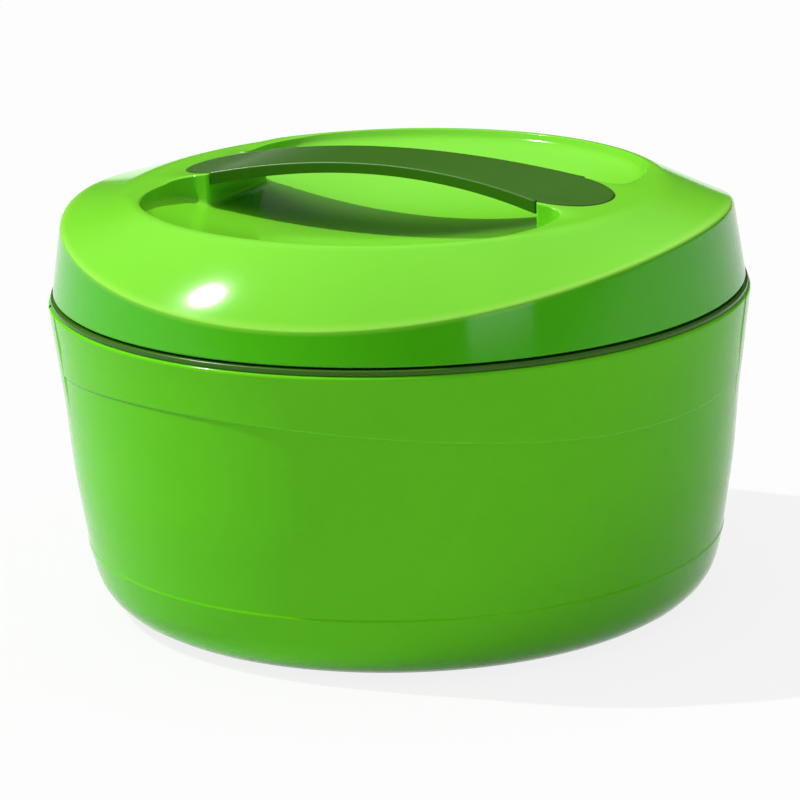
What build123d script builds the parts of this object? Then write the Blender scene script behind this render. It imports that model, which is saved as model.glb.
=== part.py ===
from build123d import *
import math
import os

# Insulated food container with a lift-off lid.
# Millimetres. The origin is the centre of the foot on the table, +Z is up,
# and +X runs along the lid's handle as the lid stands on the tub.

# General fits
fit_gap = 0.3
overrun = 5.0

# Tub: outer wall, from the rim down to the foot
body_height = 117.0
wall_top_radius = 129.4
knee_draw_in = 5.3
knee_height = 52.0
knee_bulge = 0.35
crease_draw_in = 9.2
crease_height = 26.0
foot_draw_in = 15.0
foot_corner_radius = 20.0
shell_wall = 2.6
foot_ring_width = 26.0
foot_recess_depth = 1.6
knee_radius = wall_top_radius - knee_draw_in
crease_radius = wall_top_radius - crease_draw_in
foot_radius = wall_top_radius - foot_draw_in
foot_recess_radius = foot_radius - foot_ring_width

# Tub: proud band below the rim, with a lower edge that dips on one axis
band_step = 0.5
band_least_drop = 18.3
band_wave_depth = 12.6
band_wave_angle = -9.8

# Tub: raised grip pads under the rim
grip_rise = 1.4
grip_drop = 38.0
grip_half_angle = 14.5
grip_angle = 28.2
grip_top_radius = wall_top_radius + grip_rise

# Foam filling hole and its plug
fill_hole_radius = 8.0
fill_plug_gap = 0.2
fill_flange_radius = 12.0
fill_flange_thickness = 1.2
fill_stem_reach = 1.5

# Rim ring: flange, locating skirt, collar and locking ledges
ring_overhang = 1.2
ring_thickness = 2.1
ring_edge_radius = 0.7
ring_skirt_depth = 5.0
ring_skirt_wall = 2.2
collar_draw_in = 14.9
collar_wall = 2.5
collar_rise = 11.2
lock_count = 4
ledge_reach = 3.1
ledge_top_gap = 0.6
ledge_thickness = 2.6
ledge_angle = 44.0
stop_angle = 2.5
stop_gap_angle = 0.3
lock_turn = 20.8
ring_radius = wall_top_radius + ring_overhang
collar_radius = wall_top_radius - collar_draw_in
ledge_high = collar_rise - ledge_top_gap
ledge_low = ledge_high - ledge_thickness

# Inner bowl
bowl_flange_width = 4.3
bowl_wall = 0.8
bowl_taper = 12.2
bowl_floor_height = 18.0
bowl_corner_radius = 22.0
bowl_mouth_radius = collar_radius - bowl_flange_width
bowl_floor_radius = bowl_mouth_radius - bowl_taper

# Gasket between bowl flange and lid liner
gasket_thickness = 2.0

# Lid liner: plug, disc, skirt, closing flange and locking lugs
plug_gap = 1.2
plug_bottom = 2.0
liner_wall = 2.0
liner_skirt_gap = 1.4
liner_skirt_wall = 2.4
liner_skirt_recess = 0.8
lug_angle = 32.0
lug_thickness = 2.8
lug_gap = 0.7
lug_ledge_gap = 0.6
plug_radius = bowl_mouth_radius - plug_gap
liner_skirt_radius = collar_radius + ledge_reach + liner_skirt_gap
lug_high = ledge_low - lug_ledge_gap
lug_low = lug_high - lug_thickness

# Lid shell, heights from the rim up
lid_ring_gap = 0.7
lid_base_inset = 0.05
lid_wall_taper_share = 0.155
lid_wall = 2.5
lid_roof = 3.0
crease_low = 14.9
crease_rise = 17.0
crease_angle = 7.4
crease_rounding = 3.5
ridge_draw_in = 27.35
plateau_height = 38.7
ridge_rounding = 6.0
weld_rib_inset = 0.5
weld_rib_wall = 2.0
lid_stations = 24
rounding_steps = 4
lid_bottom = ring_thickness + lid_ring_gap
liner_skirt_bottom = lid_bottom + liner_skirt_recess
lid_base_radius = wall_top_radius - lid_base_inset
ridge_radius = lid_base_radius - ridge_draw_in
weld_rib_radius = collar_radius - weld_rib_inset

# Dish in the lid's top, and the pedestals that carry the handle
dish_rim_width = 4.5
dish_end_inset = 17.5
dish_floor = 20.8
dish_sphere_radius = 325.0
dish_corner_radius = 13.0
dish_rim_rounding = 1.5
pedestal_corner_radius = 8.0
pedestal_margin = 2.0
pedestal_edge_radius = 1.0
dish_radius = ridge_radius - dish_rim_width
dish_half_length = dish_radius - dish_end_inset

# Handle
handle_overlap = 7.0
handle_nose_radius = 20.0
handle_proud = 0.5
handle_pad_thickness = 2.7
handle_pad_length = 12.4
handle_pad_rise = 2.7
handle_arch_rise = 7.0
handle_end_thickness = 4.8
handle_waist_thickness = 4.0
handle_waist_half_width = 15.0
handle_flare_half_width = 21.5
handle_blend_radius = 60.0
handle_edge_radius = 0.8
upward_share = 0.5
seat_plate = 3.0
seat_margin = 2.0
boss_radius = 4.0
boss_spacing = 18.0
boss_inset = 10.0
handle_reach = dish_half_length + handle_overlap
handle_arch_end = dish_half_length - handle_pad_length
boss_offset = handle_reach - boss_inset
pedestal_half_width = handle_nose_radius + pedestal_margin
pedestal_face = handle_arch_end + fit_gap
tip_top = plateau_height + handle_proud
tip_low = tip_top - handle_pad_thickness
seat_low = tip_low - seat_plate
pad_slope_share = handle_pad_rise / (handle_reach - handle_arch_end)

# Handle screws
screw_radius = 1.6
screw_head_radius = 5.5
screw_head_height = 2.4
screw_tip_cover = 1.0
screw_gap = 0.1
foam_pocket_gap = 2.0


def turned(points):
    """A solid of revolution from a closed outline of (radius, height) points."""
    outline = Polyline(*[(radius, 0, height) for radius, height in points], close=True)
    return revolve(make_face(outline), Axis.Z)


def tube(inner, outer, low, high):
    """A plain ring between two radii and two heights."""
    return turned([(inner, low), (outer, low), (outer, high), (inner, high)])


def disc(radius, low, high):
    """A plain round plate between two heights."""
    return Pos(0, 0, low) * Cylinder(radius, high - low, align=(Align.CENTER, Align.CENTER, Align.MIN))


def sector(inner, outer, low, high, middle_angle, spread):
    """A piece of a ring, centred on an angle."""
    outline = Polyline((inner, 0, low), (outer, 0, low), (outer, 0, high), (inner, 0, high), close=True)
    piece = revolve(make_face(outline), Axis.Z, spread)
    return Rot(0, 0, middle_angle - spread / 2) * piece


def wall_radius(height):
    """Outer radius of the tub's upper wall."""
    share = (height - knee_height) / (body_height - knee_height)
    return knee_radius + (wall_top_radius - knee_radius) * share


def tub_form(inset, floor):
    """The tub's outer form, drawn in by an inset, standing on a given floor height."""
    top = (wall_top_radius - inset, 0, body_height)
    knee = (knee_radius - inset, 0, knee_height)
    crease = (crease_radius - inset, 0, crease_height)
    foot = (foot_radius - inset, 0, floor)
    bulge = ((knee_radius + crease_radius) / 2 + knee_bulge - inset, 0, (knee_height + crease_height) / 2)
    outline = [
        Line(top, knee),
        ThreePointArc(knee, bulge, crease),
        Line(crease, foot),
        Line(foot, (0, 0, floor)),
        Line((0, 0, floor), (0, 0, body_height)),
        Line((0, 0, body_height), top),
    ]
    solid = revolve(make_face(outline), Axis.Z)
    foot_edge = solid.edges().group_by(Axis.Z)[0]
    return fillet(foot_edge, foot_corner_radius - inset)


def make_outer_shell():
    """The moulded tub: wall, band, grip pads, recessed foot and filling hole."""
    solid = tub_form(0, 0)

    # The band stands proud of the wall above a line that dips towards one axis.
    band_low = body_height - band_least_drop - band_wave_depth - overrun
    band = turned([
        (wall_radius(band_low) - shell_wall, band_low),
        (wall_radius(band_low) + band_step, band_low),
        (wall_top_radius + band_step, body_height),
        (wall_top_radius - shell_wall, body_height),
    ])
    wave_radius = wall_top_radius ** 2 / (2 * band_wave_depth)
    wave_top = body_height - band_least_drop
    wave = Pos(0, 0, wave_top - wave_radius) * Rot(90, 0, 0) * Cylinder(wave_radius, 4 * wall_top_radius)
    band = band - Rot(0, 0, band_wave_angle) * wave
    solid = solid + band

    # Two grip pads fade into the wall below the rim.
    grip_low = body_height - grip_drop
    for side_angle in (grip_angle, grip_angle + 180):
        outline = Polyline(
            (wall_radius(grip_low) - shell_wall, 0, grip_low),
            (wall_radius(grip_low), 0, grip_low),
            (grip_top_radius, 0, body_height),
            (wall_top_radius - shell_wall, 0, body_height),
            close=True,
        )
        pad = revolve(make_face(outline), Axis.Z, 2 * grip_half_angle)
        solid = solid + Rot(0, 0, side_angle - grip_half_angle) * pad

    solid = solid - tub_form(shell_wall, foot_recess_depth + shell_wall)
    solid = solid - disc(foot_recess_radius, -overrun, foot_recess_depth)
    return solid - disc(fill_hole_radius, 0, foot_recess_depth + shell_wall + overrun)


def make_base_fill_plug():
    """A push-in plug whose flange lies in the foot recess, clear of the table."""
    flange = disc(fill_flange_radius, foot_recess_depth - fill_flange_thickness, foot_recess_depth)
    stem_top = foot_recess_depth + shell_wall + fill_stem_reach
    return flange + disc(fill_hole_radius - fill_plug_gap, foot_recess_depth, stem_top)


def make_rim_ring():
    """The olive ring: flange on the tub, locating skirt, collar and locking ledges."""
    skirt_low = body_height - ring_skirt_depth
    skirt_outer = wall_radius(skirt_low) - shell_wall - fit_gap
    skirt_inner = skirt_outer - ring_skirt_wall
    flange_top = body_height + ring_thickness
    collar_top = body_height + collar_rise
    collar_inner = collar_radius - collar_wall
    solid = turned([
        (collar_inner, body_height),
        (skirt_inner, body_height),
        (skirt_inner, skirt_low),
        (skirt_outer, skirt_low),
        (skirt_outer, body_height),
        (ring_radius, body_height),
        (ring_radius, flange_top),
        (collar_radius, flange_top),
        (collar_radius, collar_top),
        (collar_inner, collar_top),
    ])
    circles = solid.edges().filter_by(GeomType.CIRCLE)
    rim_edges = circles.filter_by(lambda edge: abs(edge.radius - ring_radius) < fit_gap)
    solid = fillet(rim_edges, ring_edge_radius)

    # Each ledge hooks over a lid lug, and a stop rib under its far end ends the turn.
    ledge_outer = collar_radius + ledge_reach
    ledge_inner = collar_radius - collar_wall / 2
    pitch = 360 / lock_count
    for place in range(lock_count):
        middle = (place + 1) * pitch
        ledge = sector(ledge_inner, ledge_outer, body_height + ledge_low, body_height + ledge_high,
                       middle, ledge_angle)
        solid = solid + ledge
        lug_end = (place + 0.5) * pitch + lug_angle / 2 + lock_turn
        stop_middle = lug_end + stop_gap_angle + stop_angle / 2
        stop = sector(ledge_inner, ledge_outer, body_height + ring_thickness / 2, body_height + ledge_high,
                      stop_middle, stop_angle)
        solid = solid + stop
    return solid


def bowl_form(grow):
    """The bowl's inner space, grown outwards."""
    mouth_height = body_height + collar_rise + bowl_wall
    floor = bowl_floor_height - grow
    solid = turned([
        (0, floor),
        (bowl_floor_radius + grow, floor),
        (bowl_mouth_radius + grow, mouth_height),
        (0, mouth_height),
    ])
    return fillet(solid.edges().group_by(Axis.Z)[0], bowl_corner_radius + grow)


def make_inner_bowl():
    """The food bowl, hung by its flat flange on the ring's collar."""
    flange_low = body_height + collar_rise
    flange = tube(bowl_mouth_radius, collar_radius, flange_low, flange_low + bowl_wall)
    return bowl_form(bowl_wall) + flange - bowl_form(0)


def make_body_insulation():
    """Foam that fills the space between tub and bowl, under the ring."""
    solid = tub_form(shell_wall + fit_gap, foot_recess_depth + shell_wall + fit_gap)
    solid = solid - bowl_form(bowl_wall + fit_gap)
    solid = solid - disc(wall_top_radius, body_height - fit_gap, body_height + overrun)
    skirt_low = body_height - ring_skirt_depth - fit_gap
    skirt_inner = wall_radius(body_height - ring_skirt_depth) - shell_wall - ring_skirt_wall - 2 * fit_gap
    solid = solid - tube(skirt_inner, wall_top_radius, skirt_low, body_height + overrun)
    stem_top = foot_recess_depth + shell_wall + fill_stem_reach + fit_gap
    return solid - disc(fill_hole_radius, 0, stem_top)


def make_lid_gasket():
    """A flat silicone ring between bowl flange and lid liner, stretched round the plug."""
    low = body_height + collar_rise + bowl_wall
    return tube(plug_radius + fit_gap, collar_radius, low, low + gasket_thickness)


def lid_wall_radius(height):
    """Outer radius of the lid's tapered wall at a height above the rim."""
    return lid_base_radius - lid_wall_taper_share * height


def rounded_corner(before, corner, after, radius):
    """Points along the arc that rounds a corner between two straight lines."""
    inward = (corner - before).normalized()
    outward = (after - corner).normalized()
    turn = math.radians(inward.get_angle(outward))
    tangent = radius * math.tan(turn / 2)
    start = corner - inward * tangent
    end = corner + outward * tangent
    points = []
    for step in range(rounding_steps + 1):
        way_share = step / rounding_steps
        start_weight = (1 - way_share) ** 2
        corner_weight = 2 * way_share * (1 - way_share) * math.cos(turn / 2)
        end_weight = way_share ** 2
        total = start * start_weight + corner * corner_weight + end * end_weight
        points.append(total / (start_weight + corner_weight + end_weight))
    return points


def lid_line(angle, inset, drop):
    """Foot, crease and ridge points of the lid's outline at an angle, drawn in and lowered."""
    crease = crease_low + crease_rise * math.cos(angle) ** 2
    spread = (lid_wall_radius(crease) - ridge_radius) / (plateau_height - crease)
    top = plateau_height - drop
    corner_run = ridge_radius + spread * top - lid_base_radius + inset
    corner_height = corner_run / (spread - lid_wall_taper_share)
    foot = Vector(lid_wall_radius(lid_bottom) - inset, 0, lid_bottom)
    corner = Vector(lid_wall_radius(corner_height) - inset, 0, corner_height)
    return foot, corner, Vector(ridge_radius, 0, top)


def lid_form(inset, drop, is_rounded):
    """The lid's form, lofted up its wall, over the wavy crease and up to the round ridge."""
    lines = []
    for place in range(lid_stations):
        angle = 2 * math.pi * place / lid_stations
        foot, corner, ridge = lid_line(angle, inset, drop)
        line = [foot, corner, ridge]
        if is_rounded:
            centre = Vector(0, 0, ridge.Z)
            crease_arc = rounded_corner(foot, corner, ridge, crease_rounding)
            ridge_arc = rounded_corner(corner, ridge, centre, ridge_rounding)
            line = [foot, *crease_arc, *ridge_arc]
        lines.append([point.rotate(Axis.Z, math.degrees(angle)) for point in line])
    even_steps = [place / lid_stations for place in range(lid_stations + 1)]
    rings = []
    for points in zip(*lines):
        rings.append(Wire([Edge.make_spline(points, periodic=True, parameters=even_steps)]))
    return Rot(0, 0, crease_angle) * Solid.make_loft(rings, ruled=True)


def dish_form(grow):
    """The dish as a tool: its plan stood upright and closed below by a large sphere."""
    plan = Circle(dish_radius + grow) & Rectangle(2 * (dish_half_length + grow), 2 * (dish_radius + grow))
    outer_corners = plan.vertices()
    plan = fillet(outer_corners, dish_corner_radius + grow)
    pedestal_length = dish_half_length - pedestal_face + 2 * overrun
    for side in (-1, 1):
        middle = side * (pedestal_face + grow + pedestal_length / 2)
        plan = plan - Pos(middle, 0) * Rectangle(pedestal_length, 2 * (pedestal_half_width - grow))
    inner_corners = plan.vertices().filter_by(
        lambda corner: abs(abs(corner.X) - dish_half_length - grow) < fit_gap
        and abs(abs(corner.Y) - pedestal_half_width + grow) < fit_gap
    )
    plan = fillet(inner_corners, pedestal_corner_radius)
    column = extrude(Pos(0, 0, dish_floor - overrun) * plan, plateau_height - dish_floor + 2 * overrun)
    sphere = Pos(0, 0, dish_floor + dish_sphere_radius) * Sphere(dish_sphere_radius + grow)
    return column & sphere


def pad_plan(grow):
    """Plan of the handle's two pads: rounded noses beyond the ends of the arch."""
    nose_centre = handle_reach - handle_nose_radius
    length = nose_centre - handle_arch_end + 2 * overrun
    plan = Sketch()
    for side in (-1, 1):
        nose = Pos(side * nose_centre, 0) * Circle(handle_nose_radius + grow)
        middle = side * (nose_centre - length / 2)
        strip = Pos(middle, 0) * Rectangle(length, 2 * (handle_nose_radius + grow))
        beyond = Pos(side * (handle_arch_end + handle_reach), 0) * Rectangle(2 * handle_reach, 2 * handle_reach)
        plan = plan + ((nose + strip) & beyond)
    return plan


def pad_height(distance):
    """Height above the rim of the pads' top, which falls from the arch to the tips."""
    return tip_top + pad_slope_share * (handle_reach - distance)


def sloped_blocks(start, drop, level, half_width):
    """A block at each end of the handle, between a level and the pads' top lowered by a drop."""
    end = handle_reach + overrun
    outline = Polyline(
        (start, 0, level),
        (start, 0, pad_height(start) - drop),
        (end, 0, pad_height(end) - drop),
        (end, 0, level),
        close=True,
    )
    block = extrude(make_face(outline), half_width, both=True)
    return [block, mirror(block, Plane.YZ)]


def boss_places():
    """The four places of the handle's screw bosses."""
    return [(side * boss_offset, row * boss_spacing / 2) for side in (-1, 1) for row in (-1, 1)]


def make_lid_shell():
    """The green lid: wall, flank, ridge, dish, pedestals and pockets for the handle's pads."""
    solid = lid_form(0, 0, True) - dish_form(0)
    dish_rim = solid.edges().group_by(Axis.Z)[-1].filter_by(
        lambda edge: max(math.hypot(end.X, end.Y) for end in edge.vertices()) < dish_radius + fit_gap
    )
    solid = fillet(dish_rim, dish_rim_rounding)

    # The space inside follows the outside at wall thickness, with thicker seats under the pads.
    space = lid_form(lid_wall, lid_roof, False) - dish_form(lid_roof)
    seats = extrude(Pos(0, 0, seat_low) * pad_plan(seat_margin), plateau_height)
    rib = tube(weld_rib_radius - weld_rib_wall, weld_rib_radius, weld_top(), plateau_height)
    solid = solid - (space - seats - rib)

    # The pedestals rise towards the arch with the pads that are let into them.
    ramp_low = plateau_height - lid_roof + fit_gap
    for ramp in sloped_blocks(pedestal_face, handle_proud, ramp_low, pedestal_half_width):
        solid = solid + fillet(ramp.faces().sort_by(Axis.Z)[-1].edges(), pedestal_edge_radius)
    pads = extrude(Pos(0, 0, seat_low) * pad_plan(fit_gap), plateau_height)
    pocket_top = seat_low + plateau_height
    for pocket in sloped_blocks(handle_arch_end - overrun, handle_pad_thickness, pocket_top, handle_reach):
        solid = solid - (pads & pocket)
    for x, y in boss_places():
        hole = disc(boss_radius + fit_gap, seat_low - overrun, pad_height(handle_arch_end))
        solid = solid - Pos(x, y, 0) * hole
    return Pos(0, 0, body_height) * solid


def weld_top():
    """Height above the rim of the liner's disc, where the lid shell's weld rib meets it."""
    return collar_rise + bowl_wall + gasket_thickness + liner_wall


def make_lid_liner():
    """The lid's inner cover: plug, disc over the gasket, skirt, closing flange and locking lugs."""
    disc_top = weld_top()
    disc_low = disc_top - liner_wall
    skirt_outer = liner_skirt_radius + liner_skirt_wall
    flange_top = liner_skirt_bottom + liner_wall
    flange_radius = lid_wall_radius(flange_top) - lid_wall - fit_gap
    solid = turned([
        (0, plug_bottom),
        (plug_radius, plug_bottom),
        (plug_radius, disc_low),
        (liner_skirt_radius, disc_low),
        (liner_skirt_radius, liner_skirt_bottom),
        (flange_radius, liner_skirt_bottom),
        (flange_radius, flange_top),
        (skirt_outer, flange_top),
        (skirt_outer, disc_top),
        (plug_radius - liner_wall, disc_top),
        (plug_radius - liner_wall, plug_bottom + liner_wall),
        (0, plug_bottom + liner_wall),
    ])
    pitch = 360 / lock_count
    for place in range(lock_count):
        lug = sector(collar_radius + lug_gap, liner_skirt_radius + liner_skirt_wall / 2, lug_low, lug_high,
                     (place + 0.5) * pitch, lug_angle)
        solid = solid + lug
    return Pos(0, 0, body_height) * solid


def make_lid_insulation():
    """The foam block that fills the lid inside the weld rib, with pockets round the screws."""
    lower = disc(plug_radius - liner_wall - fit_gap, plug_bottom + liner_wall + fit_gap, plateau_height)
    upper = disc(weld_rib_radius - weld_rib_wall - fit_gap, weld_top() + fit_gap, plateau_height)
    inside = lid_form(lid_wall + fit_gap, lid_roof + fit_gap, False)
    below = disc(weld_rib_radius, -overrun, lid_bottom + overrun)
    solid = (lower + upper) & (inside + below)
    solid = solid - dish_form(lid_roof + fit_gap)
    foam_top = seat_low - fit_gap
    solid = solid - extrude(Pos(0, 0, foam_top) * pad_plan(seat_margin + fit_gap), plateau_height)
    for x, y in boss_places():
        pocket = disc(screw_head_radius + foam_pocket_gap, foam_top - screw_head_height - foam_pocket_gap,
                      plateau_height)
        solid = solid - Pos(x, y, 0) * pocket
    return Pos(0, 0, body_height) * solid


def make_handle():
    """The arched bar with its flared ends, rounded pads and screw bosses."""
    pad_top = pad_height(handle_arch_end)
    pad_low = pad_top - handle_pad_thickness
    arch_top = pad_top + handle_arch_rise
    side_outline = [
        Line((-handle_reach, 0, tip_top), (-handle_arch_end, 0, pad_top)),
        ThreePointArc((-handle_arch_end, 0, pad_top), (0, 0, arch_top), (handle_arch_end, 0, pad_top)),
        Line((handle_arch_end, 0, pad_top), (handle_reach, 0, tip_top)),
        Line((handle_reach, 0, tip_top), (handle_reach, 0, tip_low)),
        Line((handle_reach, 0, tip_low), (handle_arch_end, 0, pad_low)),
        Line((handle_arch_end, 0, pad_low), (handle_arch_end, 0, pad_top - handle_end_thickness)),
        ThreePointArc((handle_arch_end, 0, pad_top - handle_end_thickness),
                      (0, 0, arch_top - handle_waist_thickness),
                      (-handle_arch_end, 0, pad_top - handle_end_thickness)),
        Line((-handle_arch_end, 0, pad_top - handle_end_thickness), (-handle_arch_end, 0, pad_low)),
        Line((-handle_arch_end, 0, pad_low), (-handle_reach, 0, tip_low)),
        Line((-handle_reach, 0, tip_low), (-handle_reach, 0, tip_top)),
    ]
    outline = make_face(side_outline)
    flat_corners = outline.vertices().filter_by(
        lambda corner: abs(corner.Z - pad_top) < fit_gap and abs(abs(corner.X) - handle_arch_end) < fit_gap
    )
    side = extrude(fillet(flat_corners, handle_blend_radius), handle_flare_half_width, both=True)

    waist = [
        ThreePointArc((-handle_arch_end, -handle_flare_half_width), (0, -handle_waist_half_width),
                      (handle_arch_end, -handle_flare_half_width)),
        Line((handle_arch_end, -handle_flare_half_width), (handle_arch_end, handle_flare_half_width)),
        ThreePointArc((handle_arch_end, handle_flare_half_width), (0, handle_waist_half_width),
                      (-handle_arch_end, handle_flare_half_width)),
        Line((-handle_arch_end, handle_flare_half_width), (-handle_arch_end, -handle_flare_half_width)),
    ]
    plan = make_face(waist) + pad_plan(0)
    solid = side & extrude(plan, arch_top + overrun)
    top_edges = [edge for face in solid.faces() if face.normal_at().Z > upward_share for edge in face.edges()]
    rim = [edge for edge in top_edges if sum(edge.is_same(other) for other in top_edges) == 1]
    solid = fillet(rim, handle_edge_radius)
    # One quarter is kept and mirrored, so that the four sides of the noses are alike.
    side_length = 2 * handle_reach
    quarter = solid & Pos(handle_reach, handle_reach, 0) * Box(side_length, side_length, 2 * side_length)
    half = quarter + mirror(quarter, Plane.XZ)
    solid = half + mirror(half, Plane.YZ)

    boss_low = seat_low + fit_gap
    for x, y in boss_places():
        solid = solid + Pos(x, y, 0) * disc(boss_radius, boss_low, pad_low)
        solid = solid - Pos(x, y, 0) * disc(screw_radius + screw_gap, boss_low - overrun, tip_top - screw_tip_cover)
    return Pos(0, 0, body_height) * solid


def make_handle_screws():
    """Pan-head screws from inside the lid into the handle's bosses."""
    shank_top = tip_top - screw_tip_cover - screw_gap
    screws = []
    for x, y in boss_places():
        head = disc(screw_head_radius, seat_low - screw_head_height, seat_low)
        shank = disc(screw_radius, seat_low - screw_head_height / 2, shank_top)
        screws.append(Pos(x, y, body_height) * (head + shank))
    return Compound(children=screws)


nodes = {
    "outer_shell": make_outer_shell,
    "base_fill_plug": make_base_fill_plug,
    "rim_ring": make_rim_ring,
    "inner_bowl": make_inner_bowl,
    "body_insulation": make_body_insulation,
    "lid_gasket": make_lid_gasket,
    "lid_shell": make_lid_shell,
    "lid_liner": make_lid_liner,
    "lid_insulation": make_lid_insulation,
    "handle": make_handle,
    "handle_screws": make_handle_screws,
}

os.makedirs("parts", exist_ok=True)
for name, make in nodes.items():
    export_step(make(), "parts/" + name + ".step")
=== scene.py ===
"""Dresses the insulated food container: moulded shells, steel bowl, lid, handle and the studio round them.

Metres. The origin is the centre of the foot on the table, +Z is up and +X runs along the handle.
"""

import logging
import math
from collections.abc import Callable, Sequence
from dataclasses import dataclass
from enum import Enum
from functools import cached_property
from typing import NamedTuple

import bmesh
import bpy
import numpy as np
from mathutils import Matrix, Vector
from mathutils.geometry import delaunay_2d_cdt


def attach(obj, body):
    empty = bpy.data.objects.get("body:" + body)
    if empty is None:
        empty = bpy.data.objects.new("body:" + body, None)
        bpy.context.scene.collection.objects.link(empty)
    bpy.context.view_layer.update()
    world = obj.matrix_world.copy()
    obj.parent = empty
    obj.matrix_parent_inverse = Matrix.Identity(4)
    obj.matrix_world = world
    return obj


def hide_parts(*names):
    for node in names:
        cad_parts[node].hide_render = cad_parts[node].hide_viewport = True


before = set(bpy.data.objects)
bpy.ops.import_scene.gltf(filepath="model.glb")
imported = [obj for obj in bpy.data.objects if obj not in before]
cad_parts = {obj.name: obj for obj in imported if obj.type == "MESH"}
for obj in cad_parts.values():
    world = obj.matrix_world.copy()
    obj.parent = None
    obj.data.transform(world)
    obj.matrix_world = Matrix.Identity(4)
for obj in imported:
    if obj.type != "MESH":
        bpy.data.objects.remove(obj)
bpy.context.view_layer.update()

log = logging.getLogger("food_container")

Spot = tuple[float, float]
Place = tuple[float, float, float]
Outline = list[Spot]
Height = Callable[[float, float], float]
Material = bpy.types.Material
Piece = bpy.types.Object
Socket = bpy.types.NodeSocket
Tree = bpy.types.NodeTree

# Sizes that pieces share.
RIM_HEIGHT = 0.117
FIT_GAP = 0.0003

# How finely the meshes are laid out. The clearance is the share of the spacing that a filling keeps
# free along its edges.
COLUMNS = 288
ROUNDING_STEPS = 6
SECTOR_STEPS = 16
SECTOR_ROUNDING_STEPS = 3
FILL_CLEARANCE = 0.6
SHARP_ANGLE = math.radians(38)
MERGE_DISTANCE = 1e-6

# The mark that tells a side from a top, for the painted shade on the lid's walls and the painted highlight
# on its crease, and its value on the edge between them.
SIDE_MARK = "side"
EDGE_MARK = 0.5


class Body(Enum):
    """The bodies that move apart."""

    CONTAINER = "container"
    SEAL = "seal"
    LID = "lid"


class Corner(NamedTuple):
    """A corner of an outline: radius and height, or two plan places, and how far it is rounded."""

    radius: float
    height: float
    rounding: float = 0.0


class RimSpot(NamedTuple):
    """A place on a plan outline, and whether it belongs to the stretch that is let in lower."""

    x: float
    y: float
    is_inner: bool


def rounded_outline(corners: Sequence[Corner], is_closed: bool, steps: int = ROUNDING_STEPS) -> Outline:
    """Replaces the corners of an outline by arcs.

    Args:
        corners: The corners in order.
        is_closed: Whether the last corner joins the first. The ends of an open outline stay sharp.
        steps: Pieces of each arc.

    Returns:
        The outline's points, equally many for any corners with the same pattern of roundings.
    """
    count = len(corners)
    places = [Vector(corner[:2]) for corner in corners]
    sides = [places[(place + 1) % count] - places[place] for place in range(count)]
    half_turns = [sides[place - 1].angle(sides[place], 0.0) / 2 for place in range(count)]
    wanted = [corner.rounding * math.tan(turn) for corner, turn in zip(corners, half_turns)]
    if not is_closed:
        wanted[0] = wanted[-1] = 0.0
    reaches = list(wanted)
    for place in range(count):
        after = (place + 1) % count
        total = wanted[place] + wanted[after]
        if total > sides[place].length:
            for end in (place, after):
                reaches[end] = min(reaches[end], wanted[end] * sides[place].length / total)

    spots: Outline = []
    for place, here in enumerate(places):
        if wanted[place] == 0:
            spots.append((here.x, here.y))
            continue
        half_turn = half_turns[place]
        start = here - sides[place - 1].normalized() * reaches[place]
        end = here + sides[place].normalized() * reaches[place]
        for step in range(steps + 1):
            share = step / steps
            weights = ((1 - share) ** 2, 2 * share * (1 - share) * math.cos(half_turn), share ** 2)
            point = (start * weights[0] + here * weights[1] + end * weights[2]) / sum(weights)
            spots.append((point.x, point.y))
    return spots


def arc_spots(centre: Spot, radius: float, start: float, end: float, count: int) -> Outline:
    """Points along an arc.

    Args:
        centre: The arc's centre.
        radius: Its radius.
        start: First angle, in degrees.
        end: Last angle, in degrees.
        count: Pieces of the arc.

    Returns:
        One point more than there are pieces.
    """
    angles = [math.radians(start + (end - start) * step / count) for step in range(count + 1)]
    return [(centre[0] + radius * math.cos(a), centre[1] + radius * math.sin(a)) for a in angles]


def line_spots(start: Spot, end: Spot, count: int) -> Outline:
    """Points along a straight line, one for each of its equal pieces and none at its start."""
    first, run = Vector(start), Vector(end) - Vector(start)
    return [tuple(first + run * (step / count)) for step in range(1, count + 1)]


def soft_corner(start: Vector, corner: Vector, end: Vector) -> list[Vector]:
    """Places along the soft curve from one side of a corner, past the corner, to its other side."""
    shares = [step / ROUNDING_STEPS for step in range(ROUNDING_STEPS + 1)]
    return [start.lerp(corner, share).lerp(corner.lerp(end, share), share) for share in shares]


def smooth_step(share: float) -> float:
    """Eases a share in and out and holds it between 0 and 1."""
    held = min(1.0, max(0.0, share))
    return held * held * (3 - 2 * held)


def turned(radius: float, height: float, angle: float) -> Vector:
    """The place at a radius and height, turned round the upright axis."""
    return Vector((radius * math.cos(angle), radius * math.sin(angle), height))


def full_loop(quarter: Sequence[RimSpot]) -> list[RimSpot]:
    """Mirrors a quarter of a plan outline, from the Y axis to the X axis, into the whole loop.

    Args:
        quarter: Places from the Y axis, clockwise to the X axis.

    Returns:
        The closed loop, clockwise.
    """
    right = [*quarter, *[RimSpot(spot.x, -spot.y, spot.is_inner) for spot in reversed(quarter[:-1])]]
    left = [RimSpot(-spot.x, spot.y, spot.is_inner) for spot in reversed(right[1:-1])]
    return right + left


def inner_side(loop: Sequence[RimSpot], side: int) -> Outline:
    """The inner stretch of a loop on the side of positive or negative X."""
    return [(spot.x, spot.y) for spot in loop if spot.is_inner and spot.x * side > 0]


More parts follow.
